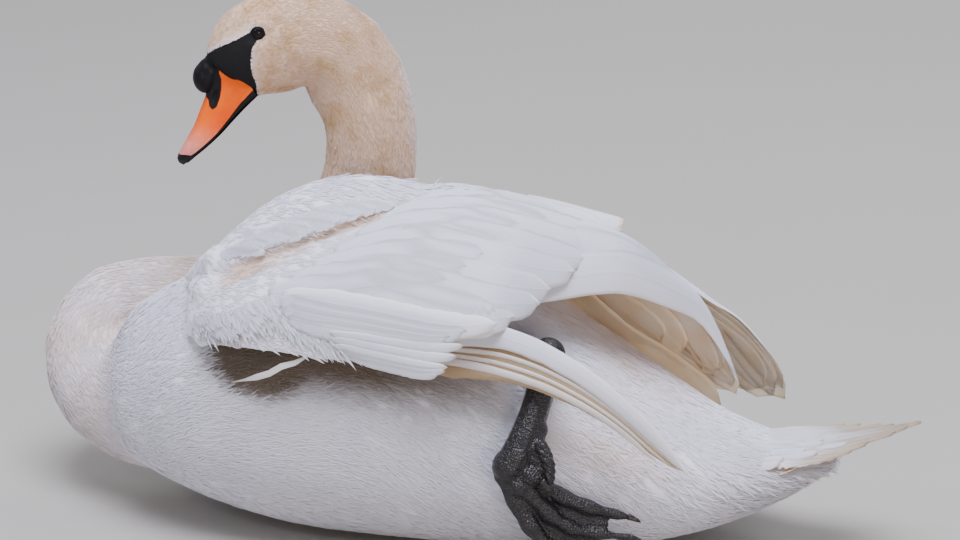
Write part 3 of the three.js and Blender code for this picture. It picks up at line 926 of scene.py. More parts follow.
@dataclass
class Ground:
    """What is known of each corner of the skin, as arrays."""

    mesh: Mesh
    centre: Array  # the nearest place on the body line
    flow: Array  # the line's direction there
    along: Array  # its distance from the brow there
    face: Face

    def __post_init__(self) -> None:
        """Reads the mesh."""
        self.places, self.normals = places_of(self.mesh), normals_of(self.mesh)
        self.x, self.y, self.z = self.places.T
        local = HEAD.local(self.places)
        self.on_head = self.face.holds(local)
        self.on_cheek = (np.abs(local[:, 1]) > self.face.cheek) & (self.on_head > 0)
        self.from_eye = self.face.from_eye(local)
        self.mask_depth = np.where(self.on_head > 0, self.face.mask_depth(local), -100.0)


@dataclass
class Skin:
    """The flesh of trunk, neck and head as one skin, drawn in by the depth of the coat.

    Pairs of numbers are where something starts and ends: distances from the brow along the body line,
    places along X, or heights, in metres.
    """

    frame: dict
    nodes: tuple[str, ...] = ("trunk", "neck_lower", "neck_middle", "neck_upper", "head")
    filled: tuple[str, ...] = ("eye_left", "eye_right")
    covering: tuple[str, ...] = (
        "wing_left_coverts", "wing_left_scapulars", "wing_right_coverts", "wing_right_scapulars",
    )
    face: Face = Face()
    voxel: float = 3.9 * MM
    grow: float = 0.6 * MM
    smoothing: int = 7
    split_reach: Pair = (46.0, 12.0)  # how far outside the mask faces are split, each time, in millimetres
    rounding: int = 40
    # distance from the brow and the coat's depth there, in millimetres
    coat_depth: Rows = (
        (0, 0.6), (60, 1.2), (120, 2.2), (220, 3.0), (600, 3.4), (760, 4.0), (900, 5.0), (1500, 5.0),
        (1700, 3.0),
    )
    # the throat's corner: place, how far it is drawn forward and how wide
    throat: tuple[float, float, float, float, float] = (-0.160, 0.080, 0.386, 0.009, 0.020)
    wing_reach: float = 0.022
    # each length of fine coat: its cover's name, and where it starts and ends
    lengths: tuple[tuple[str, float, float], ...] = (
        ("cover_head", -1.0, 0.15), ("cover_neck", 0.15, 0.43), ("cover_fold", 0.43, 2.0),
    )
    evened_length: tuple[Pair, Pair] = ((0.13, 0.18), (1.5, 1.65))
    evened_loss: Pair = (-0.0012, -0.0002)
    crown_end: Pair = (0.05, 0.12)
    trunk_start: Pair = (0.86, 1.0)
    breast_end: float = -0.10
    fine_end: Pair = (0.74, 0.86)
    soft_start: Pair = (0.70, 0.84)
    floor_gap: Pair = (0.004, 0.012)
    overlap: float = 0.003
    upright_neck: tuple[Pair, Pair] = ((0.12, 0.16), (0.42, 0.48))
    buff_end: Pair = (0.60, 0.80)
    buff_reach: Pair = (0.060, 0.092)
    golden_end: Pair = (0.16, 0.26)
    # painted tan shade on the lower back's upper side, under the arch: where it starts and ends along X
    painted_rump_shade: tuple[Pair, Pair] = ((0.04, 0.10), (0.15, 0.25))
    # the hollow under the wing's front edge, painted dark with shade, along X and up
    hollow: Oval = (-0.175, 0.188, 0.060, 0.037)
    # the shade under the wing's lower edge: places along X and heights, and how far down it reaches
    shade: Rows = ((-200, 198), (-90, 200), (0, 198), (80, 186), (150, 166))
    shade_reach: float = 46.0

    def build(self) -> Object:
        """Fuses, refines and shapes the skin, and stores what the coat needs.

        Returns:
            The skin.
        """
        body = merged_copy(self.frame, self.nodes + self.filled, self.grow)
        skin = fused("skin", body, self.voxel, self.smoothing)
        mesh = skin.data
        for reach in self.split_reach:
            self.refine(mesh, reach)
        centre, flow, along = LINE.nearest(places_of(mesh))
        set_places(mesh, self.evened(mesh, along))
        places = places_of(mesh)
        depth = smooth_rows(self.coat_depth, along / MM)[:, 0] * MM
        local = HEAD.local(places)
        bare = ramp(self.face.mask_depth(local), -6.0, 0.5) * self.face.holds(local)
        places = places - normals_of(mesh) * (depth * (1 - bare))[:, None]
        places = HEAD.placed(self.face.shaped(HEAD.local(places)))
        places[:, 2] = np.maximum(places[:, 2], 0.0)
        set_places(mesh, places)
        ground = Ground(mesh, centre, flow, along, self.face)
        set_arrows(mesh, flow=self.lie(ground), up=ground.normals)
        near_eye = np.where(ground.on_cheek, ground.from_eye, np.inf)
        soil = self.soil(ground)
        # painted shade is stored in the same number as the cream, below nothing
        set_numbers(
            mesh, mask=marking(np.maximum(ground.mask_depth, self.face.lid_shadow - near_eye)),
            buff=self.buff(ground) * (1 - soil) - soil, **self.covers(ground), size=self.size(ground),
        )
        self.unwrap(ground)
        return seated(skin, self.nodes, PLUMAGE)

    def refine(self, mesh: Mesh, reach: float) -> None:
        """Splits the head's faces in four.

        Args:
            mesh: the skin.
            reach: how far from the mask's edge faces are still split, in millimetres.
        """
        local = HEAD.local(places_of(mesh))
        near = (self.face.mask_depth(local) > -reach) | (self.face.from_eye(local) < self.face.lid_edge[1])
        near &= self.face.holds(local) > 0
        body = bmesh.new()
        body.from_mesh(mesh)
        body.verts.ensure_lookup_table()
        edges = [edge for edge in body.edges if near[edge.verts[0].index] and near[edge.verts[1].index]]
        bmesh.ops.subdivide_edges(body, edges=edges, cuts=1, use_grid_fill=True)
        soft = [vert for vert in body.verts if vert.index >= len(near) or near[vert.index]]
        for _ in range(2):
            bmesh.ops.smooth_vert(
                body, verts=soft, factor=0.5, use_axis_x=True, use_axis_y=True, use_axis_z=True,
            )
        body.to_mesh(mesh)
        body.free()

    def evened(self, mesh: Mesh, along: Array) -> Array:
        """Rounds neck and trunk off without thinning them, and draws the throat's corner forward.

        Args:
            mesh: the skin.
            along: distance from the brow, for each corner.

        Returns:
            The new places.
        """
        places, normals = places_of(mesh), normals_of(mesh)
        soft = spread_over(mesh, places, self.rounding)
        loss = spread_over(mesh, ((places - soft) * normals).sum(axis=1), self.rounding * 2)
        share = window(along, *self.evened_length) * ramp(loss, *self.evened_loss)
        places = places + (soft + normals * loss[:, None] - places) * share[:, None]
        x, y, z, push, reach = self.throat
        far = ((places[:, 0] - x) ** 2 + (places[:, 2] - z) ** 2) / reach**2
        far += ((places[:, 1] - y) / (2 * reach)) ** 2
        ahead = (1 - ramp(normals[:, 0], -0.6, 0.1)) * (along > 0.1)
        places[:, 0] -= push * np.exp(-far) * ahead
        return places

    def sheltered(self, ground: Ground) -> Array:
        """Which corners lie close under the wings, where no coat shows: 1 where they do."""
        hidden = np.zeros(len(ground.places))
        for node in self.covering:
            tree = BVHTree.FromObject(self.frame["nodes"][node], bpy.context.evaluated_depsgraph_get())
            low, high = (np.array(corner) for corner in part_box(node))
            near = ((ground.places > low - 0.03) & (ground.places < high + 0.03)).all(axis=1) & (hidden < 0.5)
            for index in np.nonzero(near)[0]:
                start, way = Vector(ground.places[index]), Vector(ground.normals[index])
                hidden[index] = tree.ray_cast(start, way, self.wing_reach)[0] is not None
        return spread_over(ground.mesh, hidden, 3)

    def lie(self, ground: Ground, droop: float = 0.35) -> Array:
        """Which way the coat lies: away from the bill on the crown, then along the body, and down on it."""
        flow = unit(spread_over(ground.mesh, ground.flow, 16))
        rays = unit(ground.places - HEAD.placed(np.array([self.face.bill_root])))
        crown = ((1 - ramp(ground.along, *self.crown_end)) * ground.on_head)[:, None]
        flow = unit(flow * (1 - crown) + rays * crown)
        down = np.outer(ramp(ground.along, *self.trunk_start), [0.0, 0.0, -droop])
        return laid_flat(flow + down, ground.normals)

    def soil(self, ground: Ground) -> Array:
        """How much painted shade each corner gets: in the hollow and under the left wing's lower edge, and
        darker towards the bottom and under the tail, on the left side only.
        """
        x, z, half_x, half_z = self.hollow
        stain_and_shade_share = 1 - ramp(np.hypot((ground.x - x) / half_x, (ground.z - z) / half_z), 0.65, 1.15)
        gap = (smooth_rows(self.shade, ground.x / MM)[:, 0] - ground.z / MM) / self.shade_reach
        length = ramp(ground.x, -0.20, -0.13) * (1 - 0.84 * ramp(ground.x, -0.08, 0.15))
        stain_and_shade_share = np.maximum(stain_and_shade_share, window(gap, (-1.0, -0.5), (0.25, 1.1)) * length)
        # painted shade: darker low on the belly and under the tail
        painted_low_shade = 0.20 * (1 - ramp(ground.z, 0.02, 0.10)) + 0.30 * ramp(ground.x, 0.22, 0.30)
        left = 1 - ramp(ground.y, -0.05, 0.0)
        return np.maximum(stain_and_shade_share, painted_low_shade * ramp(ground.along, 0.80, 0.95)) * left

    def buff(self, ground: Ground) -> Array:
        """How much cream each corner gets: golden on the crown and paler down the neck, with faint painted
        tan shade on the lower back under the arch.
        """
        along, up = ground.along, ground.normals[:, 2]
        sides = 0.45 + 0.55 * np.abs(ground.normals[:, 1])
        off = np.linalg.norm(ground.places - ground.centre, axis=1)
        flank = window(along, *self.upright_neck) * (1 - sides)
        buff = (1 - ramp(along, *self.buff_end)) * (1 - ramp(off, *self.buff_reach)) * (1 - flank)
        buff = spread_over(ground.mesh, buff * (1 - 0.68 * ramp(along, 0.36, 0.50)), 14)
        golden = 1 + 0.5 * ramp(up, 0.0, 0.7) * (1 - ramp(along, *self.golden_end))
        white_border = 0.7 * np.exp(np.minimum(ground.mask_depth, 0.0) / 6.0)
        # painted tan shade on the lower back, under the arch
        painted_rump_shade = window(ground.x, *self.painted_rump_shade) * ramp(up, 0.0, 0.5)
        return np.maximum(buff * golden * (1 - white_border), 0.28 * painted_rump_shade)

    def covers(self, ground: Ground) -> dict[str, Array]:
        """How thickly each part of the coat grows, none on bare skin, the floor or under the wings."""
        along, near = ground.along, self.overlap
        bare = ramp(ground.mask_depth, 1.0, 2.4)
        lids = ground.on_cheek * (1 - ramp(ground.from_eye, 6.4, 7.1))
        open_air = 1 - self.sheltered(ground)
        fine = (1 - ramp(along, *self.fine_end)) * (1 - np.maximum(bare, lids)) * open_air
        soft = ramp(along, *self.soft_start) * open_air * ramp(ground.z, *self.floor_gap)
        behind = ramp(ground.x, self.breast_end - near, self.breast_end + near)
        left = 1 - ramp(ground.y, -near, near)
        return {
            **{name: fine * window(along, (start - near, start + near), (end - near, end + near))
               for name, start, end in self.lengths},
            "cover_breast": soft * (1 - behind),
            "cover_left": soft * behind * left,
            "cover_right": soft * behind * (1 - left),
        }

    @staticmethod
    def size(ground: Ground) -> Array:
        """How large the tufts are: small on the head, smallest next to the mask."""
        near_bare = np.clip(np.exp(ground.mask_depth / 14.0), 0, 1)
        return (0.42 + 0.58 * ramp(ground.along, 0.02, 0.22)) * (1 - 0.25 * near_bare * ground.on_head)

    @staticmethod
    def unwrap(ground: Ground) -> None:
        """Maps the skin along and around the body line."""
        x, y, z = (ground.places - ground.centre).T
        upright = (ground.along > 0.17) & (ground.along < 0.42)
        around = np.arctan2(np.where(upright, x, z), y) / FULL_TURN + 0.5
        set_map(ground.mesh, "OFBake", inset(np.stack([around, ground.along / ground.along.max()], axis=1)))


# ---- Eyes, lids, bill and knob ----


@dataclass
class Eyes:
    """Both eyeballs and their lids. Sizes are in millimetres and angles from the eye's axis in degrees."""

    face: Face = Face()
    rings: int = 28
    sides: int = 48
    opening: float = 38.0
    squint: float = 0.78  # the opening's height as a share of its length
    corner: float = 8.0
    corner_turn: float = 5.9
    corner_width: float = 0.35
    lid_edge: float = 50.0
    lid_inside: float = 7.7
    wrinkle_height: float = 0.06
    wrinkle_pace: float = 30.0
    lid_shares: tuple[float, ...] = (0, 0.02, 0.05, 0.09, 0.14, 0.2, 0.3, 0.42, 0.56, 0.72, 0.86, 1.0)
    # share of the way from the opening to the lid's outer edge, and radius there
    lid: Rows = (
        (0, 8.08), (0.12, 8.3), (0.3, 8.42), (0.6, 8.36), (0.8, 8.15), (1, 7.75),
    )

    def build(self) -> None:
        """Builds the pair of eyes and the pair of lids."""
        for side, word in ((1, "left"), (-1, "right")):
            self.ball(side, word)
            self.lids(side, word)

    def around(self, side: int, turn: Array, tilt: Array, radius: object) -> Array:
        """Places on spheres round one eye's middle.

        Args:
            side: 1 for the left eye, -1 for the right.
            turn: angle round the eye's axis, from forward towards up.
            tilt: angle away from the axis.
            radius: distance from the middle.

        Returns:
            Places in metres.
        """
        q, p, z = self.face.eye
        local = np.stack([
            q + radius * np.sin(tilt) * np.cos(turn),
            side * (p + radius * np.cos(tilt)),
            z + radius * np.sin(tilt) * np.sin(turn),
        ], axis=-1)
        return HEAD.placed(local.reshape(-1, 3))

    def ball(self, side: int, word: str) -> None:
        """One eyeball, closed at both poles."""
        tilt, turn = np.meshgrid(
            np.linspace(0.01, math.pi - 0.01, self.rings),
            np.linspace(0, FULL_TURN, self.sides, endpoint=False), indexing="ij",
        )
        places = self.around(side, turn, tilt, self.face.eye_radius)
        piece = mesh_object(f"eye_{word}_ball", places, sheet_faces(self.rings, self.sides, True))
        back = tilt.ravel() > 1.5
        set_numbers(piece.data, ring=np.sin(tilt).ravel() + back)
        closed_out(piece.data)
        seated(piece, (f"eye_{word}",), GLASS)

    def lids(self, side: int, word: str) -> None:
        """The lids as one soft ring round the opening, drawn out to the eye's front corner."""
        share = np.array(self.lid_shares)[:, None]
        turn = np.linspace(0, FULL_TURN, self.sides * 2, endpoint=False)
        from_corner = np.angle(np.exp(1j * (turn - self.corner_turn))) / self.corner_width
        low = self.opening * np.hypot(np.cos(turn), self.squint * np.sin(turn))
        low = np.radians(low + self.corner * np.exp(-(from_corner**2)))
        tilt = low + share * (math.radians(self.lid_edge) - low)
        turn = np.broadcast_to(turn, tilt.shape)
        wrinkles = self.wrinkle_height * np.sin(share * self.wrinkle_pace)
        outside = self.around(side, turn, tilt, smooth_rows(self.lid, share[:, 0])[:, :1] + wrinkles)
        inside = self.around(side, turn, tilt, self.lid_inside)
        rows, columns = tilt.shape
        count = tilt.size
        faces = sheet_faces(rows, columns, True)
        rim = np.arange(columns)
        after = (rim + 1) % columns
        closing = [np.stack([rim, after, after + count, rim + count], axis=1) + start
                   for start in (0, count - columns)]
        piece = mesh_object(f"eye_{word}_lids", np.concatenate([outside, inside]),
                            np.concatenate([faces, faces + count, *closing]))
        closed_out(piece.data)
        seated(piece, (), BARE)


@dataclass
class Bill:
    """The bill in the head's frame: stations from the gape to the nail."""

    # station: edge (forward, height), side (forward, height), ridge (forward, height), half-width
    stations: Rows = (
        (0, 28.8, 395.3, 31, 409, 72, 425.5, 23.5),
        (1, 35.2, 389, 41, 402.5, 73, 408, 21.5),
        (2, 41.8, 382.2, 54, 393, 75.5, 390.5, 19.5),
        (3, 52, 370.6, 64, 376.5, 81.5, 374.5, 17.8),
        (4, 64, 356.8, 74.5, 361.5, 87, 360.5, 16.8),
        (5, 76.8, 344.5, 86, 348.5, 94, 347.5, 16),
        (6, 86.8, 335.4, 94, 338.6, 99.7, 337.3, 14),
        (7, 93.3, 328, 99, 331.5, 103.4, 329.6, 9.5),
        (8, 98, 322.8, 100.5, 325, 102, 324.6, 3),
    )
    last: float = 8.0
    rise_bend: float = 0.95
    side_bend: float = 0.78
    trough_bend: float = 0.6
    lower_last: float = 7.3
    # station, and how deep the lower half is there
    lower_depth: Rows = ((0, 2.6), (2, 3.4), (4, 2.9), (6, 2.3), (7.3, 1.4))
    lower_margin: float = 0.9
    # station, and how far up the side its black edge reaches as a share
    black_edge: Rows = (
        (0, 0.21), (1, 0.17), (3, 0.11), (5, 0.10), (6, 0.16), (7, 0.4), (8, 0.8),
    )
    side_height: float = 26.0
    nail_start: float = 6.4
    nail_pitch: float = 9.0
    nostril: Pair = (66.6, 392.6)
    nostril_half: Pair = (9.6, 2.7)
    nostril_lean: float = math.radians(-71.6)
    nostril_depth: float = 2.6
    nostril_rim: float = 0.45
    nostril_border: float = 0.7
    # the black patch round the nostrils, as forward and height
    surround: Rows = (
        (64, 430), (62.3, 420.2), (62.9, 415.5), (60.8, 409.5), (60.9, 402), (62.3, 392.6), (65.7, 383),
        (69.5, 380), (72.6, 382.5), (73.3, 388.5), (78, 392), (84, 430),
    )
    palate: Pair = (2.5, 1.5)  # how far its middle lies forward and up of the edge
    pink_start: Pair = (3.2, 6.0)
    pink: float = 0.9
    along: int = 150
    around: int = 72

    def build(self) -> None:
        """Builds the upper and the lower half."""
        self.upper()
        self.lower()

    def upper(self) -> None:
        """The upper half with its nail, nostrils and black edges."""
        angle = np.linspace(0, math.pi, self.around)
        rise = np.sin(angle) ** self.rise_bend
        read = smooth_rows(self.stations, np.linspace(0, self.last, self.along))[:, None]
        outline = bent(read[..., 0:2], read[..., 2:4], read[..., 4:6], rise[:, None])
        across = read[..., 6] * power(np.cos(angle), self.side_bend)
        outer = np.stack([outline[..., 0], across, outline[..., 1]], axis=-1)
        palate = outer[:, ::-1].copy()[:, 1:-1]
        bulge = 1 - (np.abs(palate[..., 1]) / np.maximum(outer[:, :1, 1], 1e-6)) ** 2
        for axis, reach in zip((0, 2), self.palate):
            palate[..., axis] = outer[:, :1, axis] + reach * bulge
        ring = np.concatenate([outer, palate], axis=1)
        points = ring.shape[1]
        flat = ring.reshape(-1, 3)
        station = np.repeat(np.linspace(0, self.last, self.along), points)
        height = np.tile(np.concatenate([rise, np.zeros(points - self.around)]), self.along)
        top = np.tile(np.arange(points) < self.around, self.along)
        slit = self.slit_depth(flat)
        side = np.sign(flat[:, 1]) * top
        flat[:, 1] -= side * self.nostril_depth * ramp(slit, -0.3, 2.0)
        flat[:, 1] += side * self.nostril_rim * np.exp(-((slit + 0.9) / 0.9) ** 2)
        piece = mesh_object("bill_upper_sheath", HEAD.placed(flat), sheet_faces(self.along, points, True))
        self.finish(piece, "bill_upper", marking(self.black(flat, station, height, top)),
                    ramp(station, *self.pink_start) * self.pink)

    def slit_depth(self, flat: Array) -> Array:
        """How far inside the nostril's oval each place is, in millimetres."""
        q, z = flat[:, 0] - self.nostril[0], flat[:, 2] - self.nostril[1]
        c, s = math.cos(self.nostril_lean), math.sin(self.nostril_lean)
        a, b = (q * c + z * s) / self.nostril_half[0], (z * c - q * s) / self.nostril_half[1]
        return (1 - np.hypot(a, b)) * self.nostril_half[1]

    def black(self, flat: Array, station: Array, height: Array, top: Array) -> Array:
        """How far inside its black marks each place is, in millimetres, with all of the palate black."""
        edge = (smooth_rows(self.black_edge, station)[:, 0] - height) * self.side_height
        nail = (station + 0.25 * (1 - height) - self.nail_start) * self.nail_pitch
        patch = depth_in(self.surround, flat[:, [0, 2]])
        marks = np.maximum.reduce([edge, nail, patch, self.slit_depth(flat) + self.nostril_border])
        return np.where(top, marks, EDGE_REACH)

    def lower(self) -> None:
        """The lower half: a shallow black trough under the edge, a little narrower."""
        angle = np.linspace(0, FULL_TURN, self.around, endpoint=False)
        stations = np.linspace(0, self.lower_last, self.along)
        read = smooth_rows(self.stations, stations)
        edge, half = read[:, 0:2], read[:, 6:7] - self.lower_margin
        heading = unit(np.gradient(edge, axis=0))
        deep = smooth_rows(self.lower_depth, stations)
        drop = (1.0 - np.sin(angle)) * 0.5
        q = edge[:, :1] + heading[:, 1:] * deep * drop
        z = edge[:, 1:] - heading[:, :1] * deep * drop
        flat = np.stack([q, half * power(np.cos(angle), self.trough_bend), z], axis=-1).reshape(-1, 3)
        faces = sheet_faces(self.along, self.around, True)
        piece = mesh_object("bill_lower_sheath", HEAD.placed(flat), faces)
        self.finish(piece, "bill_lower", np.ones(len(flat)), np.zeros(len(flat)))

    @staticmethod
    def finish(piece: Object, node: str, black: Array, pale: Array) -> None:
        """Marks a half, closes it and seats it."""
        set_numbers(piece.data, mask=black, pale=pale)
        closed_out(piece.data)
        seated(piece, (node,), HORN)


@dataclass
class Knob:
    """The black knob at the bill's root, with the saddle that joins it to the brow."""

    # lumps in the head's frame: middle (forward, left, height) and half-sizes
    lumps: Rows = (
        (75, 0, 408, 12.5, 11.8, 15.5),
        (72, 0, 416, 11, 11.5, 11),
        (66, 0, 424, 10, 12, 9),
        (59, 0, 430, 10, 13.5, 8.5),
    )
    voxel: float = 0.9 * MM
    smoothing: int = 14

    def build(self) -> None:
        """Fuses the lumps into one knob."""
        body = bmesh.new()
        for *middle, a, b, c in self.lumps:
            made = bmesh.ops.create_icosphere(body, subdivisions=4, radius=1.0)["verts"]
            local = np.array([vert.co[:] for vert in made]) * [a, b, c] + middle
            for vert, place in zip(made, HEAD.placed(local)):
                vert.co = place
        knob = fused("bill_knob_skin", body, self.voxel, self.smoothing)
        seated(knob, ("bill_knob",), BARE)


# ---- Long feathers ----


@dataclass(frozen=True)
class Sheet:
    """A curved sheet that feathers lie on.

    Its rows are stations along X: place, then one edge, the crest and the other edge as (Y, Z).
    """

    rows: Rows
    outward: int = 1

    def at(self, x: Array, share: Array) -> Array:
        """Places on the sheet in millimetres, at places along X and shares from edge to edge."""
        read = smooth_rows(self.rows, x.ravel()).reshape(*x.shape, 6)
        first, crest, last = read[..., 0:2], read[..., 2:4], read[..., 4:6]
        cross = bent(first, 2 * crest - (first + last) / 2, last, share[..., None])
        return np.concatenate([x[..., None], cross], axis=-1)

    def tangents(self, x: Array, share: Array) -> tuple[Array, Array, Array]:
        """How the sheet runs at given places.

        Args:
            x: places along X.
            share: shares from edge to edge.

        Returns:
            Change of place with x, change of place with share, and the outward direction.
        """
        along = (self.at(x + 1.0, share) - self.at(x - 1.0, share)) / 2.0
        over = (self.at(x, share + 0.01) - self.at(x, share - 0.01)) / 0.02
        return along, over, unit(np.cross(along, over)) * self.outward

    def walked(
        self, x: Array, share: Array, heading: Array, away: Array, strides: int = 6,
    ) -> tuple[Array, Array]:
        """Walks over the sheet, square to a heading.

        Args:
            x: where along X each walk starts.
            share: and at which share.
            heading: the direction that the walk is square to.
            away: how far each goes, in millimetres.
            strides: how many straight pieces each walk is made of.

        Returns:
            Where each ends, along X and as a share.
        """
        x, share = np.broadcast_arrays(x, share, away)[:2]
        for _ in range(strides):
            d_x, d_s, out = self.tangents(x, share)
            side = unit(np.cross(out, heading))
            a, b, c = (d_x * d_x).sum(-1), (d_x * d_s).sum(-1), (d_s * d_s).sum(-1)
            along_x, along_s = (side * d_x).sum(-1), (side * d_s).sum(-1)
            bottom = np.maximum(a * c - b**2, 1e-9)
            x = x + (c * along_x - b * along_s) / bottom * away / strides
            share = share + (a * along_s - b * along_x) / bottom * away / strides
        return x, share


@dataclass(frozen=True)
class Row:
    """A row of like feathers on a sheet, from their roots' line to their tips' line.

    Both lines are corners of (place along X, share). Lengths are in millimetres.
    """

    roots: tuple[Pair, ...]
    tips: tuple[Pair, ...]
    count: int
    half: float  # half of a feather's width
    lift: Pair = (0.5, 2.5)  # how far root and tip stand off the sheet
    tilt: float = 0.06  # how much higher one edge lies than the other
    step: float = 0.0  # how much higher each feather lies than the one before
    camber: float = 1.2
    bow: float = 0.0  # how far the middle swings out to a side
    point: float = 0.72  # where the tip starts to round off
    fray: float = 0.04
    uneven: float = 0.03
    narrow: float = 1.0  # the tip's width as a share
    spread: float = 0.0
    held: float = 0.0  # 1 keeps a feather from reaching past the sheet's edges

    def outline(self, v: Array) -> Array:
        """Half-width along a feather as a share of its widest, narrow at the root and rounded at the tip."""
        rise = np.clip(v / 0.22, 0, 1) ** 0.55
        fall = np.clip((v - self.point) / (1 - self.point), 0, 1)
        return (0.25 + 0.75 * rise) * np.sqrt(np.maximum(1 - fall**2.2, 0.0)) * (1 - (1 - self.narrow) * v)


class VaneMaker:
    """Makes rows of solid feathers and gathers them into one mesh."""

    thickness = 0.55
    flutter = 0.12  # how unevenly feathers are lifted, in millimetres

    def __init__(self, name: str, seed: int, along: int = 26, across: int = 9, even: bool = False) -> None:
        """Starts an empty mesh.

        Args:
            name: what the finished piece is called.
            seed: fixes its chance marks.
            along: points along a feather.
            across: points across a feather.
            even: whether its shading follows the sheets, so that fine strands catch light as one.
        """
        self.along, self.across, self.even = along, across, even
        self.name = name
        self.chance = np.random.default_rng(seed)
        self.places: list[Array] = []
        self.layers: dict[str, list[Array]] = {"under": [], "soil": []}
        self.flats: list[Array] = []
        self.outs: list[Array] = []

    @staticmethod
    def line(corners: tuple[Pair, ...], share: Array) -> Array:
        """Reads a line of corners at even shares of its way."""
        points = np.array(corners, float)
        at = np.linspace(0, 1, len(points))
        return np.stack([np.interp(share, at, points[:, k]) for k in range(2)], axis=-1)

    def add(self, sheet: Sheet, row: Row, soil: float = 0.0, painted_warm_light: float = 0.0, deep: float = 0.0) -> None:
        """Adds one row of feathers.

        Args:
            sheet: what they lie on.
            row: where, how many and how large.
            soil: how much stain, and painted shade, their outer ends get.
            painted_warm_light: how much of the underside's painted tan light their upper side has, and past 1
                how much of its painted shade.
            deep: how much painted shade darkens their underside towards the root.
        """
        count, normal = row.count, self.chance.normal
        number = np.arange(count)
        share = (number + 0.5) / count
        root, tip = self.line(row.roots, share), self.line(row.tips, share)
        tip = tip + (tip - root) * normal(0, row.uneven, (count, 1))
        tip = tip + normal(0, row.spread, (count, 1)) * [1.0, 0.0]
        v = np.linspace(0, 1, self.along)[None, :, None]
        u = np.linspace(-1, 1, self.across)[None, None, :]
        run = (tip - root)[:, None, None]
        x, s = np.moveaxis(root[:, None, None] + run * v[..., None], -1, 0)
        d_x, d_s, _ = sheet.tangents(x, s)
        heading = unit(d_x * run[..., :1] + d_s * run[..., 1:])
        rough = normal(0, row.fray, (count, self.along, self.across))
        width = row.half * row.outline(v) * (1 + rough * np.abs(u) ** 3)
        x, s = sheet.walked(x, s, heading, u * width + row.bow * np.sin(math.pi * v))
        s = s - (s - np.clip(s, 0.0, 1.0)) * row.held
        out = sheet.tangents(x, s)[2]
        height = row.lift[0] + (row.lift[1] - row.lift[0]) * v
        height = height + row.camber * (1 - u**2) * np.minimum(v * 4, 1)
        height = height + row.tilt * u * row.half + row.step * number[:, None, None]
        flutter = normal(0, self.flutter + row.spread * self.flutter, (count, 1, 1))
        height = height + flutter * np.minimum(0.4 + v, 1)
        top = sheet.at(x, s) + out * height[..., None]
        self.keep(self.places, top, top - out * self.thickness)
        self.keep(self.outs, out, -out)
        across, length = np.broadcast_arrays(u, v, height)[:2]
        flat = np.stack([across, length], axis=-1)
        self.keep(self.flats, flat, flat)
        # the underside is painted tan light, darkened by painted shade towards the root
        under = 1.0 + deep * np.clip(1.15 - length, 0, 1)
        self.keep(self.layers["under"], np.full(length.shape, painted_warm_light), under)
        # stain, and painted shade where the row asks, on the outer ends
        end_stain_and_shade = soil * np.clip(length * 1.6 - 0.5, 0, 1)
        self.keep(self.layers["soil"], end_stain_and_shade, end_stain_and_shade)

    @staticmethod
    def keep(parts: list[Array], top: Array, low: Array) -> None:
        """Keeps what is known of each feather's upper side, then of its underside."""
        both = np.stack([top, low], axis=1)
        parts.append(both.reshape(len(top), -1, *top.shape[3:]))

    def closed_faces(self) -> Array:
        """The faces of one feather: top, underside and rim."""
        grid = sheet_faces(self.along, self.across, False)
        size = self.along * self.across
        index = np.arange(size).reshape(self.along, self.across)
        loop = np.concatenate([index[0, :-1], index[:-1, -1], index[-1, :0:-1], index[:0:-1, 0]])
        after = np.roll(loop, -1)
        rim = np.stack([loop, after, after + size, loop + size], axis=1)
        return np.concatenate([grid[:, ::-1], grid + size, rim])

    def finish(self, *nodes: str) -> None:
        """Joins all rows into one piece with its maps and seats it in place of the nodes."""
        places = np.concatenate(self.places)
        count, size = places.shape[:2]
        faces = (self.closed_faces()[None] + (np.arange(count) * size)[:, None, None]).reshape(-1, 4)
        piece = mesh_object(self.name, places.reshape(-1, 3) * MM, faces)
        layers = {name: np.concatenate(parts).ravel() for name, parts in self.layers.items()}
        set_numbers(piece.data, **layers)
        flat = np.concatenate(self.flats)
        set_map(piece.data, "Vane", flat.reshape(-1, 2))
        cells = math.ceil(math.sqrt(count * 2))
        number = np.arange(count)[:, None] * 2 + (np.arange(size) >= size // 2)[None]
        cell = np.stack([number % cells, number // cells], axis=-1)
        atlas = (cell + 0.5 + (flat * [0.5, 1.0] - [0.0, 0.5]) * 0.9) / cells
        set_map(piece.data, "OFBake", atlas.reshape(-1, 2))
        if self.even:
            outs = np.concatenate(self.outs).reshape(-1, 3)
            piece.data.normals_split_custom_set_from_vertices(outs.tolist())
        seated(piece, nodes, VANE)


LEFT_COVERTS = Sheet((
    (-245.6, -75.6, 242, -94.6, 224.3, -103.6, 200), (-202.6, -77.6, 264, -119.8, 245.5, -143.6, 206),
    (-151.6, -73.6, 288, -130.6, 265.1, -161.6, 212), (-93.6, -57.6, 310, -131.7, 279.5, -171.6, 210),
    (-33.6, -23.6, 331, -118.1, 297.0, -174.6, 214), (16.4, 2.4, 331, -102.4, 306.0, -174.6, 226),
    (61.4, 8.4, 322, -85.8, 308.5, -157.6, 246), (94.4, 14.4, 311, -50.4, 296.6, -99.6, 252),
), -1)
LEFT_SCAPULARS = Sheet((
    (-229.6, -47.6, 274, -65.4, 269.6, -79.6, 258), (-183.6, -31.6, 314, -66.7, 304.6, -91.6, 278),
    (-133.6, -21.6, 338, -61.4, 329.5, -89.6, 300), (-83.6, -13.6, 343, -47.0, 338.8, -73.6, 318),
    (-35.6, -5.6, 335, -24.8, 335.4, -41.6, 326),
), -1)
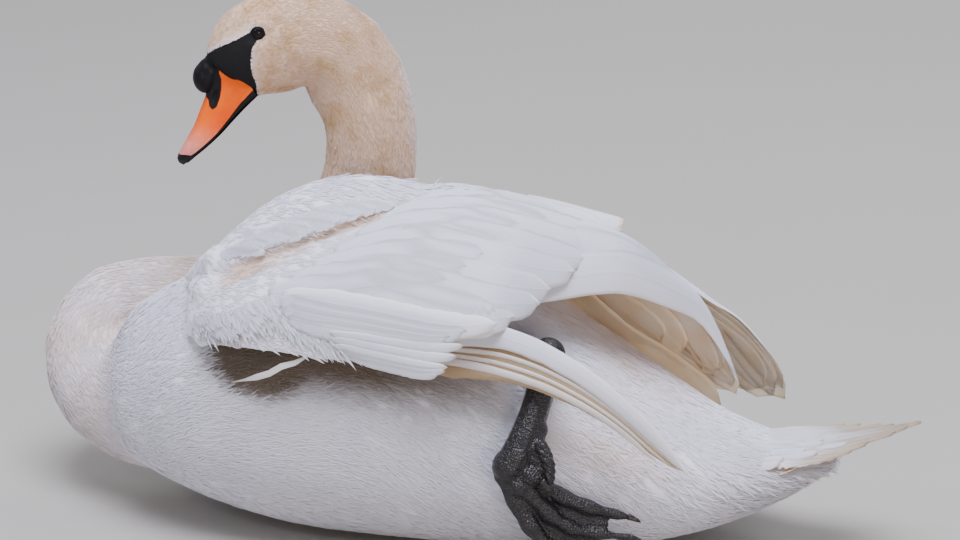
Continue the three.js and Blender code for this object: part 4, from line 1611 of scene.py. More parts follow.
LEFT_ARCH = Sheet((
    (95.4, -81.6, 253, 16.4, 306, 92.4, 178), (126.4, -51.6, 251, 21.4, 294, 100.4, 146),
    (158.4, -25.6, 246, 32.4, 275, 106.4, 126), (188.4, 14.4, 226, 57.4, 238, 109.4, 108),
    (219.4, 60.4, 196, 84.4, 188, 111.4, 92), (245.4, 86.4, 136, 97.4, 120, 109.4, 86),
))
LEFT_HAND = Sheet((
    (-53.6, -145.6, 228, -149.6, 221.0, -153.6, 214), (16.4, -144.6, 240, -153.1, 225.5, -161.6, 211),
    (71.4, -143.6, 246, -154.6, 224.5, -165.6, 203), (125.4, -149.6, 229, -159.1, 209.0, -168.6, 189),
    (179.4, -155.6, 195, -160.1, 176.5, -164.6, 158), (214.4, -154.6, 161, -155.6, 144.0, -156.6, 127),
    (239.9, -151.6, 122, -151.1, 118.0, -150.6, 114),
), -1)
LEFT_HOLLOW = Sheet((
    (-220, -150, 196, -156, 180, -150, 164), (-160, -154, 200, -160, 185, -154, 170),
    (-120, -156, 214, -162, 198, -156, 184), (-80, -158, 228, -163, 212, -158, 198),
), -1)
RIGHT_COVERTS = Sheet((
    (-215.6, 146.4, 206, 158.1, 190.9, 160.4, 172), (-173.6, 144.4, 238, 170.6, 204.4, 174.4, 162),
    (-133.6, 139.4, 262, 176.7, 215.5, 180.4, 156), (-83.6, 102.4, 288, 166.6, 234.2, 182.4, 152),
    (-43.6, 16.4, 325, 128.5, 265.0, 182.4, 150), (16.4, 8.4, 318, 124.8, 263.0, 182.4, 148),
    (66.4, 18.4, 306, 128.7, 252.3, 182.4, 142), (116.4, 40.4, 286, 137.9, 233.4, 182.4, 132),
))
RIGHT_TERTIALS = Sheet((
    (117.4, 45.4, 276, 138.5, 231, 182.4, 132), (166.4, 66.4, 246, 148.4, 206, 183.4, 116),
    (216.4, 102.4, 199, 161.9, 168, 180.4, 96), (242, 124, 178, 166, 146, 177, 84),
    (262, 137, 152, 167, 122, 175, 70), (276, 147, 130, 165, 103, 172, 62), (286, 152, 112, 162, 88, 169, 58),
    (294, 155, 102, 160, 82, 167, 56),
))
RIGHT_HAND = Sheet((
    (-13.6, 160.4, 160, 166.4, 146.0, 172.4, 132), (76.4, 152.4, 150, 159.4, 134.0, 166.4, 118),
    (136.4, 146.4, 132, 153.4, 117.0, 160.4, 102), (196.4, 139.4, 108, 144.4, 95.0, 149.4, 82),
    (228.4, 134.4, 90, 137.4, 84.0, 140.4, 78), (244.4, 132.4, 82, 133.9, 79.5, 135.4, 77),
))
TAIL_FAN = Sheet((
    (235, -60, 92, -6, 106, 48, 92), (271, -62, 90, -6, 104, 50, 90), (316, -66, 94, -6, 106, 54, 94),
    (356, -61, 101, -6, 110, 50, 101), (391, -46, 112, -6, 118, 35, 112), (414, -30, 120, -6, 124, 19, 120),
    (430, -13, 129, -6, 130, 2, 129),
))


@dataclass
class LeftWing:
    """The near wing: its fleshy root and coverts as a base, and its long feathers."""

    base_nodes: tuple[str, ...] = ("wing_left_coverts", "wing_left_scapulars")
    arch: tuple[Row, ...] = (
        Row(((10, 0.95),), ((230, 0.97),), 1, 24, lift=(-5.4, -5.0), tilt=0.02, camber=1.0, point=0.74,
            fray=0.02, held=0.3),
        Row(((46, 0.92), (50, 0.70)), ((160, 0.90), (206, 0.86)), 2, 26, lift=(-4.6, -4.0), tilt=0.02,
            step=0.2, camber=1.0, point=0.74, fray=0.02, held=0.6),
        Row(((60, 0.76), (66, 0.36)), ((222, 0.88), (242, 0.66)), 3, 27, lift=(-3.0, -2.4), tilt=0.02,
            step=0.2, point=0.78, fray=0.02, held=0.8),
        Row(((40, 0.14), (88, 0.74)), ((244, 0.36), (236, 0.90)), 4, 27, lift=(-1.3, -1.0), tilt=-0.01,
            bow=-8, point=0.84, fray=0.01, uneven=0.01, narrow=0.85, held=0.95),
        Row(((30, 0.02),), ((246, 0.36),), 1, 21, lift=(-0.4, -0.2), tilt=0.0, camber=1.4, bow=-24,
            point=0.80, fray=0.01, uneven=0.0, narrow=0.95, held=0.5),
    )
    inner: Row = Row(
        ((-112, 0.66), (-70, 0.42), (-10, 0.25), (18, 0.06)),
        ((60, 0.96), (92, 0.95), (124, 0.62), (134, 0.06)), 9, 19, lift=(-0.6, 1.6), tilt=0.05, step=0.1,
    )
    middle: Row = Row(
        ((-165, 0.60), (-120, 0.40), (-80, 0.2), (-40, 0.05)),
        ((0, 0.70), (40, 0.60), (72, 0.36), (88, 0.06)), 7, 18, lift=(-1.0, 1.5), tilt=0.02, step=0.05,
        camber=0.8,
    )
    lobe: Row = Row(
        ((-128, 0.80), (-140, 0.68), (-138, 0.58)), ((10, 0.95), (38, 0.965), (62, 0.97)), 4, 13,
        lift=(1.5, 5.0), tilt=0.09, step=0.7, camber=1.6,
    )
    bands: Row = Row(
        ((-70, 0.975), (-84, 0.92), (-90, 0.84)), ((10, 1.08), (30, 1.07), (36, 0.99)), 5, 5.0,
        lift=(0.6, 1.6), tilt=0.25, step=0.9, camber=1.0,
    )
    # a dark sheet under the quills that paints the shade seen between them
    painted_shade_backing: Row = Row(
        ((-40, 0.62),), ((238, 0.62),), 1, 27, lift=(-5.0, -3.0), tilt=0.0, camber=1.0, point=0.5, fray=0.02,
        uneven=0.0, narrow=0.4,
    )
    quills: tuple[Row, ...] = tuple(
        Row(((-30, root),), ((tip_x, tip),), 1, half, lift=lift, tilt=0.20, camber=camber, point=0.86,
            fray=0.03, uneven=0.0, narrow=0.6)
        for root, tip_x, tip, half, lift, camber in (
            (0.84, 214, 0.95, 4.0, (-3.4, -1.6), 0.8), (0.68, 228, 0.80, 2.2, (-3.2, -1.4), 0.6),
            (0.52, 238, 0.64, 2.4, (-3.0, -1.2), 0.6),
        )
    )
    leading: Row = Row(
        ((-10, 0.17),), ((240, 0.40),), 1, 12, lift=(1.4, 1.0), tilt=0.10, camber=1.6, point=0.8, fray=0.02,
        uneven=0.0, narrow=0.5,
    )
    shoulder: Row = Row(
        ((-222, 0.74), (-95, 0.70)), ((-176, 0.98), (-44, 0.99)), 26, 6.0, lift=(-1.6, 1.0), tilt=0.05,
        camber=0.5, point=0.5, fray=0.16, uneven=0.10,
    )
    fringe_roots: tuple[Pair, ...] = ((-238, 0.80), (-196, 0.78), (-156, 0.70), (-122, 0.78), (-92, 0.84))
    fringe_tips: tuple[Pair, ...] = ((-226, 0.95), (-184, 0.95), (-142, 0.88), (-104, 0.95), (-68, 0.99))
    # each layer of the fringe: how far back it lies as a share, half-width and the tips' lift
    fringe_layers: tuple[Place, ...] = (
        (0.0, 2.5, 0.0), (0.035, 2.9, 0.3), (0.08, 3.1, 0.4), (0.13, 3.2, 0.3),
    )
    fringe_shift: float = 40.0
    loose: Row = Row(
        ((-112, 0.22),), ((-184, 0.58),), 1, 3.2, lift=(0.0, 1.0), tilt=0.15, camber=1.4, point=0.3,
        fray=0.34, uneven=0.0, narrow=0.7,
    )

    def build(self) -> None:
        """Builds the long feathers; the base gets its own coat."""
        maker = VaneMaker("wing_left_tertial_vanes", 11)
        for row in self.arch:
            # painted shade darkens the arch's undersides towards their roots
            maker.add(LEFT_ARCH, row, deep=0.34)
        maker.finish("wing_left_tertials")
        maker = VaneMaker("wing_left_primary_vanes", 12)
        # painted shade: the sheet under the quills takes the deep underside colour
        maker.add(LEFT_HAND, self.painted_shade_backing, painted_warm_light=1.85)
        # the quills' upper sides take some painted tan light
        for row in self.quills:
            maker.add(LEFT_HAND, row, soil=0.3, painted_warm_light=0.5)
        maker.add(LEFT_HAND, self.leading)
        maker.finish("wing_left_primaries")
        maker = VaneMaker("wing_left_covert_vanes", 13)
        for row in (self.inner, self.middle, self.bands, self.lobe):
            maker.add(LEFT_COVERTS, row)
        maker.add(LEFT_SCAPULARS, self.shoulder)
        maker.finish()
        maker = VaneMaker("wing_left_fringe", 14, along=7, across=3, even=True)
        for back, half, high in self.fringe_layers:
            roots = tuple((x, share - back) for x, share in self.fringe_roots)
            tips = tuple((x + self.fringe_shift * back, share - back) for x, share in self.fringe_tips)
            maker.add(LEFT_COVERTS, Row(
                roots, tips, 130, half, lift=(-2.0, high), tilt=0.05, camber=0.5, point=0.2, fray=0.08,
                uneven=0.18, narrow=0.6, spread=5.0,
            ))
        # painted shade: the loose feather lies in the shaded hollow
        maker.add(LEFT_HOLLOW, self.loose, soil=0.3, painted_warm_light=0.4)
        maker.finish()


@dataclass
class RightWing:
    """The far wing, in the same layers."""

    base_nodes: tuple[str, ...] = ("wing_right_coverts", "wing_right_scapulars")
    tertials: Row = Row(
        ((104, 0.88), (100, 0.14)), ((254, 0.86), (269, 0.80), (279, 0.66), (281, 0.44)), 5, 28,
        lift=(-2.0, -1.2), tilt=0.01, step=0.15, camber=1.6, bow=-8, point=0.78, fray=0.01, uneven=0.01,
        narrow=0.95, held=0.85,
    )
    greater: Row = Row(
        ((-60, 0.93), (0, 0.5), (30, 0.1)), ((66, 0.97), (120, 0.6), (134, 0.08)), 9, 17, lift=(0.4, 2.2),
        tilt=0.07, step=0.1, camber=1.4,
    )
    middle: Row = Row(
        ((-130, 0.93), (-80, 0.5), (-30, 0.15)), ((-20, 0.97), (40, 0.6), (70, 0.12)), 10, 15,
        lift=(0.8, 2.6), step=0.05,
    )
    hand: Row = Row(
        ((0, 0.97), (0, 0.45)), ((206, 1.0), (216, 0.7)), 5, 6, lift=(-1.5, -1.0), tilt=0.25, step=0.5,
        camber=0.8, point=0.86, fray=0.03, uneven=0.01, narrow=0.55,
    )
    stray: Row = Row(((50, 0.10),), ((138, 0.01),), 1, 11, lift=(0.5, 7.0), tilt=0.8, camber=1.0, point=0.6)

    def build(self) -> None:
        """Builds the long feathers; the base gets its own coat."""
        maker = VaneMaker("wing_right_tertial_vanes", 21)
        # painted shade darkens the undersides towards their roots
        maker.add(RIGHT_TERTIALS, self.tertials, deep=0.32)
        maker.finish("wing_right_tertials")
        maker = VaneMaker("wing_right_primary_vanes", 22)
        maker.add(RIGHT_HAND, self.hand, soil=0.2)
        maker.finish("wing_right_primaries")
        maker = VaneMaker("wing_right_covert_vanes", 23)
        for row in (self.greater, self.middle, self.stray):
            maker.add(RIGHT_COVERTS, row)
        maker.finish("wing_right_stray_feather")


@dataclass
class Tail:
    """The closed tail: long quills, and the coverts over and under their roots."""

    quills: Row = Row(
        ((285, 0.12), (285, 0.88)), ((356, 0.12), (404, 0.34), (429, 0.5), (404, 0.66), (356, 0.88)), 18, 7.5,
        lift=(-3.0, -1.0), tilt=0.10, step=0.3, point=0.4, fray=0.16, uneven=0.05, narrow=0.5,
    )
    over: Row = Row(
        ((236, 0.06), (236, 0.94)), ((312, 0.08), (368, 0.5), (312, 0.92)), 15, 9.5, lift=(-9.0, 1.6),
        tilt=0.08, camber=1.5, point=0.55, fray=0.10, uneven=0.14, narrow=0.7,
    )
    under: Row = Row(
        ((235, 0.04), (235, 0.96)), ((318, 0.08), (384, 0.5), (318, 0.92)), 15, 10, lift=(-24.0, -3.4),
        tilt=-0.08, camber=-1.2, point=0.55, fray=0.10, uneven=0.12, narrow=0.7,
    )

    def build(self) -> None:
        """Builds the whole tail."""
        maker = VaneMaker("tail_vanes", 31)
        # the quills carry stains and a little painted tan light; the under coverts are painted with shade
        maker.add(TAIL_FAN, self.quills, soil=2.0, painted_warm_light=0.3)
        maker.add(TAIL_FAN, self.over, soil=0.3)
        maker.add(TAIL_FAN, self.under, soil=0.9, painted_warm_light=1.15)
        maker.finish("tail")


@dataclass
class WingBase:
    """The fleshy root of a wing with its small coverts' bed, fused from its nodes."""

    name: str
    nodes: tuple[str, ...]
    lumps: tuple[Ball, ...] = ()  # what rounds its front off
    # the shaded fold under the shoulder feathers: places along X and heights, in millimetres
    fold: Rows | None = None
    fold_depth: float = 8.0
    fold_soft: float = 5.0
    fold_strength: float = 0.62
    fold_length: tuple[Pair, Pair] = ((-222, -196), (-60, -35))
    voxel: float = 3.0 * MM
    smoothing: int = 9
    grow: float = 0.8 * MM
    depth: float = 2.2 * MM
    front_reach: float = 0.050
    front_sink: float = 0.010
    front_drop: float = 0.004
    droop: float = 0.22
    cover_end: Pair = (-0.02, 0.03)

    def build(self, frame: dict) -> Object:
        """Fuses the nodes, draws them in by the coat's depth and stores the coat's lie.


        Returns:
            The base.
        """
        body = merged_copy(frame, self.nodes, self.grow)
        add_balls(body, self.lumps)
        base = fused(self.name, body, self.voxel, self.smoothing)
        mesh = base.data
        places = places_of(mesh) - normals_of(mesh) * self.depth
        side = np.sign(places[:, 1].mean())
        front = 1 - ramp(places[:, 0], places[:, 0].min(), places[:, 0].min() + self.front_reach)
        places[:, 1] -= side * self.front_sink * front**2
        places[:, 2] -= self.front_drop * front**2
        set_places(mesh, places)
        normals = normals_of(mesh)
        x, z = places[:, 0], places[:, 2]
        out = normals[:, 1] * side
        lie = [1.0, 0.0, -self.droop] + np.outer(ramp(x, -0.2, -0.1), [0.0, 0.1 * side, 0])
        outer = np.maximum(ramp(normals[:, 2] + out, 0.0, 0.4), ramp(z, 0.21, 0.23))
        set_arrows(mesh, flow=laid_flat(lie, normals), up=normals)
        # the fold's painted shade is stored in the cream's number
        set_numbers(
            mesh, cover=outer * (1 - ramp(x, *self.cover_end)), size=0.55 + 0.75 * ramp(x, -0.25, 0.05),
            mask=np.zeros(len(places)), buff=self.painted_fold_shade(places / MM) * ramp(out, 0.0, 0.2),
        )
        low, high = places.min(axis=0), places.max(axis=0)
        share = (places - low) / (high - low)
        halves = (share[:, 2] + (out < 0)) * 0.49 + 0.01
        set_map(mesh, "OFBake", np.stack([inset(share[:, 0]), halves], axis=1))
        return seated(base, self.nodes, PLUMAGE)

    def painted_fold_shade(self, places: Array) -> Array:
        """How much painted shade each place gets in the fold, from 0 to the fold's strength."""
        if self.fold is None:
            return np.zeros(len(places))
        gap = places[:, 2] - smooth_rows(self.fold, places[:, 0])[:, 0]
        fold = window(gap, (-self.fold_depth - self.fold_soft, -self.fold_depth), (0, 6))
        return self.fold_strength * fold * window(places[:, 0], *self.fold_length)


# where the near wing's shoulder feathers end: places along X and heights
SHOULDER_FOLD = ((-232, 244), (-208, 260), (-183.6, 273), (-133.6, 299), (-83.6, 319), (-35.6, 326))
SHOULDER_FRONT = (
    (-222, -62, 262, 17), (-232, -57, 256, 14.5), (-242, -52, 250, 12), (-250, -47, 244, 10),
    (-257, -42, 239, 8), (-240, -66, 234, 15), (-236, -82, 224, 15), (-229, -100, 214, 14),
    (-222, -116, 206, 12), (-226, -84, 238, 18),
)


# ---- Legs ----


@dataclass
class Leg:
    """One leg: shank, webbed foot and hind toe under one scaly skin, and a claw on each toe.

    Its lines run along the middle of the shank and of each toe. Sizes are in millimetres but for the voxel.
    """

    word: str
    voxel: float
    shank: Rows
    toes: tuple[Rows, ...]
    lumps: tuple[Ball, ...] = ()  # each joint's swelling
    shank_radius: float = 15.0
    toe_radii: Pair = (11.0, 3.0)
    grow: float = 0.4 * MM
    smoothing: int = 12
    knuckle: float = 0.8
    knuckle_pitch: float = 27.0
    pleat: float = 0.55
    pleat_pitch: float = 4.6
    claw_length: float = 13.0
    claw_radius: float = 3.3
    claw_curve: float = 2.4
    claw_sunk: float = 0.55  # the share of a claw that sits in its toe
    claw_taper: float = 0.985
    claw_flatness: float = 0.8
    stations: int = 60
    claw_rings: int = 9
    claw_sides: int = 12

    def build(self, frame: dict) -> None:
        """Builds the skin and the claws.
        """
        nodes = (f"leg_{self.word}_tarsus", f"leg_{self.word}_foot")
        body = merged_copy(frame, nodes, self.grow)
        add_balls(body, self.lumps)
        skin = fused(f"leg_{self.word}_skin", body, self.voxel, self.smoothing)
        self.shape(skin.data)
        seated(skin, nodes, FOOT)
        self.claws()

    def samples(self) -> tuple[Array, Array, Array, Array]:
        """Reads shank and toes at even steps.

        Returns:
            Places in millimetres, distances run, radii, and 1 on the toes.
        """
        share = np.linspace(0, 1, self.stations)
        parts = []
        for number, rows in enumerate((self.shank, *self.toes)):
            run = distances_run(np.array(rows, float))
            line = smooth_rows(np.column_stack([run, rows]), share * run[-1])
            first, last = self.toe_radii if number else (self.shank_radius, self.shank_radius)
            toe = np.full(len(share), float(number > 0))
            parts.append((line, share * run[-1], first + (last - first) * share, toe))
        return tuple(np.concatenate(part) for part in zip(*parts))

    def shape(self, mesh: Mesh) -> None:
        """Raises knuckles on the toes and pleats on the webs, and stores where scutes run."""
        places = places_of(mesh)
        samples = self.samples()
        nearest = nearest_of(places / MM, samples[0])
        line, run, radius, toe = (part[nearest] for part in samples)
        away = np.linalg.norm(places / MM - line, axis=1)
        web = ramp(away - radius, 0.5, 4.0) * toe
        knuckles = np.cos(run * FULL_TURN / self.knuckle_pitch) * toe * (1 - web)
        pleats = np.sin(away * FULL_TURN / self.pleat_pitch) * web
        rise = self.knuckle * knuckles + self.pleat * pleats
        places = places + normals_of(mesh) * (rise * MM)[:, None]
        places[:, 2] = np.maximum(places[:, 2], 0.0)
        set_places(mesh, places)
        upper = 0.35 + 0.65 * ramp(normals_of(mesh)[:, 2], -0.2, 0.5)
        set_numbers(mesh, run=run, scute=(1 - web) * upper)

    def claws(self) -> None:
        """One curved cone at the end of each toe."""
        share = np.linspace(0, 1, self.claw_rings)
        turn = np.linspace(0, FULL_TURN, self.claw_sides, endpoint=False)
        radius = self.claw_radius * np.sqrt(1 - share * self.claw_taper)
        places, faces = [], []
        for number, rows in enumerate(self.toes):
            end, before = np.array(rows[-1], float), np.array(rows[-2], float)
            ahead = unit(end - before)
            side = unit(np.cross(ahead, [0.0, 0.0, 1.0]))
            over = np.cross(side, ahead)
            root = end - ahead * self.claw_length * self.claw_sunk
            middle = root + np.outer(share * self.claw_length, ahead)
            middle = middle - np.outer(share**2 * self.claw_curve, over)
            ring = np.cos(turn)[:, None] * side * self.claw_flatness + np.sin(turn)[:, None] * over
            claw = middle[:, None] + radius[:, None, None] * ring[None]
            claw[..., 2] = np.maximum(claw[..., 2], 0.1)
            places.append(claw.reshape(-1, 3))
            faces.append(sheet_faces(len(share), len(turn), True) + number * claw.size // 3)
        piece = mesh_object(f"leg_{self.word}_claws", np.concatenate(places) * MM, np.concatenate(faces))
        closed_out(piece.data)
        seated(piece, (), CLAW)


LEFT_LEG = Leg(
    "left",
    1.2 * MM,
    (
        (101.4, -111.6, 206), (100.4, -135.6, 184), (95.4, -151.6, 161), (85.4, -165.6, 132),
        (78.4, -168.6, 118),
    ),
    (
        ((80.4, -165.6, 120), (112.4, -157.6, 95), (148.4, -152.6, 80), (190.4, -140.6, 68)),
        ((77.4, -171.6, 117), (104.4, -170.6, 88), (131.4, -161.6, 63), (193.4, -144.6, 50)),
        ((74.4, -173.6, 115), (94.4, -173.6, 74), (116.4, -167.6, 43), (154.4, -155.6, 14)),
        ((88.4, -179.6, 128), (106.4, -181.6, 118), (115.4, -178.6, 108)),
    ),
    (
        (102.4, -111.6, 210, 16.5), (79, -168, 121, 16.5), (88, -166, 127, 14), (94, -163, 135, 12.5),
        (98, -158, 144, 11.5), (100, -153, 152, 11), (107, -167, 141, 7), (111, -169, 136, 6.8),
        (114, -171, 130, 6.4), (116, -172, 124, 6), (117, -173, 118, 5.4), (117, -174, 112, 4.8),
        (104, -168, 128, 7), (105, -170, 120, 7), (104, -171, 112, 7.5), (98, -173, 114, 10),
        (88, -176, 105, 10),
    ),
)
RIGHT_LEG = Leg(
    "right",
    1.5 * MM,
    ((140.4, 106.4, 56), (120.4, 120.4, 46), (80.4, 134.4, 29), (52.4, 139.4, 18), (34.4, 140.4, 12)),
    (
        ((34.4, 140.4, 9), (-5.6, 122.4, 7), (-43.6, 110.4, 7), (-81.6, 102.4, 5)),
        ((34.4, 142.4, 9), (-9.6, 140.4, 7), (-53.6, 140.4, 7), (-101.6, 142.4, 5)),
        ((34.4, 144.4, 9), (-3.6, 156.4, 7), (-41.6, 168.4, 7), (-77.6, 178.4, 5)),
        ((46.4, 136.4, 14), (60.4, 130.4, 9), (70.4, 126.4, 6)),
    ),
)


# ---- Coat ----


class Tuft(Enum):
    """The kinds of small feather that the coat is made of."""

    HAIRY = "hairy"
    WISP = "wisp"


TUFT_SEED = 100


@dataclass(frozen=True)
class TuftForm:
    """A kind of tuft: its strands and how each runs, one long and about one wide."""

    strands: tuple[Place, ...]  # lean, length and half-width of each
    steps: tuple[float, ...]  # where its sections lie
    widths: tuple[float, ...]  # and how wide they are
    curl: float
    ridge: float
    arch: float

    def shape(self, number: int) -> tuple[list[list[float]], list[list[int]]]:
        """One tuft, lying along +Y.

        Args:
            number: which of its variants.

        Returns:
            Corner places and faces.
        """
        chance = np.random.default_rng(TUFT_SEED + number)
        places, faces = [], []
        for lean, length, half in self.strands:
            length = length * chance.uniform(0.88, 1.08)
            bend = chance.normal(0, self.curl)
            points = [
                [lean * t + bend * t * t, length * t, self.arch * math.sin(math.pi * t * 0.8), half * w]
                for t, w in zip(self.steps, self.widths)
            ]
            self.add_lock(points, places, faces)
        return places, faces

    def add_lock(self, points: list[list[float]], places: list[list[float]], faces: list[list[int]]) -> None:
        """Adds a thin closed lock of three-cornered sections, from a closed root to a single point.

        Args:
            points: stations of (across, along, up, half-width), from root to tip; the last is the point.
            places: where its corners are added.
            faces: where its faces are added.
        """
        first = len(places)
        for x, y, z, half in points[:-1]:
            places += [[x - half, y, z], [x, y, z + half * self.ridge], [x + half, y, z]]
        tip = len(places)
        places.append(points[-1][:3])
        faces.append([first, first + 2, first + 1])
        for a in range(first, tip - 3, 3):
            faces += [[a, a + 1, a + 4, a + 3], [a + 1, a + 2, a + 5, a + 4], [a + 2, a, a + 3, a + 5]]
        a = tip - 3
        faces += [[a, a + 1, tip], [a + 1, a + 2, tip], [a + 2, a, tip]]


FORMS = {
    Tuft.HAIRY: TuftForm(
        ((-0.17, 0.86, 0.19), (0.17, 1.0, 0.20)), (0.0, 0.5, 1.0), (0.7, 1.0, 0.0),
        curl=0.10, ridge=0.5, arch=0.06,
    ),
    Tuft.WISP: TuftForm(
        ((-0.24, 0.84, 0.13), (0.20, 1.0, 0.14)), (0.0, 0.35, 0.7, 1.0), (0.6, 1.0, 0.75, 0.0),
        curl=0.26, ridge=0.35, arch=0.05,
    ),
}


class CoatGraph(Graph):
    """The node tree of one coat."""

    def stored(self, name: str, kind: str = "FLOAT_VECTOR") -> NodeSocket:
        """Reads a stored layer of the skin."""
        layer = self.add("GeometryNodeInputNamedAttribute", {"data_type": kind}, Name=name)
        return layer.outputs["Attribute"]

    def chance(self, low: float, high: float, seed: object) -> NodeSocket:
        """A chance number between two limits."""
        drawn = self.add("FunctionNodeRandomValue", {"data_type": "FLOAT"}, i2=low, i3=high, Seed=seed)
        return drawn.outputs[1]

    def sized(self, measure: object, size: object, low: float, high: float, seed: int) -> NodeSocket:
        """A measure at the place's own size, more or less by chance."""
        return self.times(self.times(measure, size), self.chance(low, high, seed))

    def arrows(self, operation: str, output: int | str = 0, **inputs: object) -> NodeSocket:
        """One sum on directions."""
        return self.add("ShaderNodeVectorMath", {"operation": operation}, **inputs).outputs[output]

    def on(self, kind: str, geometry: object, settings: dict | None = None, **inputs: object) -> Node:
        """Adds a step that works on a geometry."""
        return self.add(kind, settings, Geometry=geometry, **inputs)


@dataclass
class Coat:
    """One coat piece: tufts of one kind strewn over a skin where it is covered."""

    name: str
    kind: Tuft
    cover: str
    seed: int
    density: float  # tufts a square metre
    length: float  # length and width in millimetres
    width: float
    lift: float  # lift and stray in degrees
    stray: float
    slot: str = "body_plumage"
    softness: float = 0.90
    variants: int = 4
    patch: float = 0.003
    # the least and most that chance makes of each measure
    lifts: Pair = (0.5, 1.5)
    lengths: Pair = (0.75, 1.2)
    widths: Pair = (0.8, 1.2)
    outer_faces: Pair = (0.15, 0.45)  # how far a face must look outwards to be softened

    def build(self, skin: Object) -> Object:
        """Strews the tufts and makes them one plain mesh.

        Args:
            skin: what they grow on; it carries flow, size and the cover's share.

        Returns:
            The coat piece.
        """
        tufts = bpy.data.collections.new(f"{self.name}_tufts")
        bpy.context.scene.collection.children.link(tufts)
        for number in range(self.variants):
            places, faces = FORMS[self.kind].shape(number)
            mesh = bpy.data.meshes.new(f"{self.name}_tuft_{number}")
            mesh.from_pydata(places, [], faces)
            set_map(mesh, "Tuft", np.array(places)[:, :2])
            tufts.objects.link(bpy.data.objects.new(mesh.name, mesh))
        carrier = linked(bpy.data.objects.new(self.name, skin.data.copy()))
        modifier = carrier.modifiers.new("coat", "NODES")
        modifier.node_group = self.tree(tufts)
        for item in modifier.node_group.interface.items_tree:
            if item.item_type == "SOCKET" and item.in_out == "INPUT" and item.name in self.sizes():
                modifier[item.identifier] = self.sizes()[item.name]
        coat = settled(carrier)
        for tuft in list(tufts.objects):
            bpy.data.objects.remove(tuft)
        bpy.data.collections.remove(tufts)
        for name in [layer.name for layer in coat.data.attributes]:
            if name in ("flow", "size", "up") or name.startswith("cover"):
                coat.data.attributes.remove(coat.data.attributes[name])
        return seated(coat, ())

    def sizes(self) -> dict[str, float | int]:
        """The named inputs of the tree."""
        return {
            "Density": self.density, "Length": self.length * MM, "Width": self.width * MM,
            "Lift": math.radians(self.lift), "Stray": math.radians(self.stray), "Seed": self.seed,
        }

    def tree(self, tufts: Collection) -> NodeTree:
        """Builds the node tree that strews, turns, sizes and realizes the tufts.

        Args:
            tufts: the variants to pick from.

        Returns:
            The tree.
        """
        tree = bpy.data.node_groups.new(self.name, "GeometryNodeTree")
        face = tree.interface
        face.new_socket("Geometry", in_out="INPUT", socket_type="NodeSocketGeometry")
        for name, value in self.sizes().items():
            kind = "NodeSocketInt" if isinstance(value, int) and name == "Seed" else "NodeSocketFloat"
            face.new_socket(name, in_out="INPUT", socket_type=kind)
        face.new_socket("Geometry", in_out="OUTPUT", socket_type="NodeSocketGeometry")
        graph = CoatGraph(tree)
        given = graph.add("NodeGroupInput").outputs
        thick = graph.times(given["Density"], graph.stored(self.cover, "FLOAT"))
        strewn = graph.add("GeometryNodeDistributePointsOnFaces", Mesh=given["Geometry"],
                           Density=thick, Seed=given["Seed"])
        points = graph.on("GeometryNodeStoreNamedAttribute", strewn.outputs["Points"],
                          {"data_type": "FLOAT_VECTOR"}, Name="root_place", Value=graph.stored("OFBake"))
        points = graph.on("GeometryNodeRemoveAttribute", points, Name="OFBake")
        turn = graph.add("FunctionNodeAxesToRotation", {"primary_axis": "Z", "secondary_axis": "Y"},
                         Primary_Axis=strewn.outputs["Normal"], Secondary_Axis=graph.stored("flow"))
        swing = graph.times(graph.chance(-1.0, 1.0, graph.plus(given["Seed"], 3.0)), given["Stray"])
        rise = graph.times(given["Lift"], graph.chance(*self.lifts, 5))
        turned = graph.add("FunctionNodeRotateRotation", {"rotation_space": "LOCAL"}, Rotation=turn,
                           Rotate_By=graph.add("ShaderNodeCombineXYZ", X=rise, Z=swing))
        size = graph.stored("size", "FLOAT")
        length = graph.sized(given["Length"], size, *self.lengths, 6)
        width = graph.sized(given["Width"], size, *self.widths, 7)
        source = graph.add("GeometryNodeCollectionInfo", Collection=tufts, Separate_Children=True)
        grown = graph.add("GeometryNodeInstanceOnPoints", Points=points, Instance=source,
                          Pick_Instance=True, Rotation=turned,
                          Scale=graph.add("ShaderNodeCombineXYZ", X=width, Y=length, Z=width))
        whole = graph.on("GeometryNodeRealizeInstances", grown)
        own = graph.arrows("SCALE", i0=graph.stored("Tuft"), Scale=self.patch)
        place = graph.arrows("ADD", i0=graph.stored("root_place"), i1=own)
        whole = graph.on("GeometryNodeStoreNamedAttribute", whole,
                         {"data_type": "FLOAT2", "domain": "CORNER"}, Name="OFBake", Value=place)
        for name in ("root_place", "Tuft"):
            whole = graph.on("GeometryNodeRemoveAttribute", whole, Name=name)
        whole = self.softened(graph, graph.on("GeometryNodeSetShadeSmooth", whole))
        whole = graph.on("GeometryNodeSetMaterial", whole, Material=PLUMAGE.material())
        graph.add("NodeGroupOutput", i0=whole)
        return tree

    def softened(self, graph: CoatGraph, given: Node) -> Node:
        """Turns the outer faces' shading towards the skin's own, so that the coat catches light softly.

        Args:
            graph: the tree.
            given: what makes the coat's mesh.

        Returns:
            The node that gives the softened mesh.
        """
        own = graph.add("GeometryNodeInputNormal").outputs["True Normal"]
        up = graph.stored("up")
        facing = graph.arrows("DOT_PRODUCT", "Value", i0=own, i1=up)
        share = graph.times(graph.steps(facing, *self.outer_faces), self.softness)
        blend = graph.add("ShaderNodeMix", {"data_type": "VECTOR"}, i0=share, i4=own, i5=up).outputs[1]
        return graph.add("GeometryNodeSetMeshNormal", {"mode": "FREE", "domain": "FACE"}, Mesh=given,
                         Custom_Normal=graph.arrows("NORMALIZE", i0=blend))


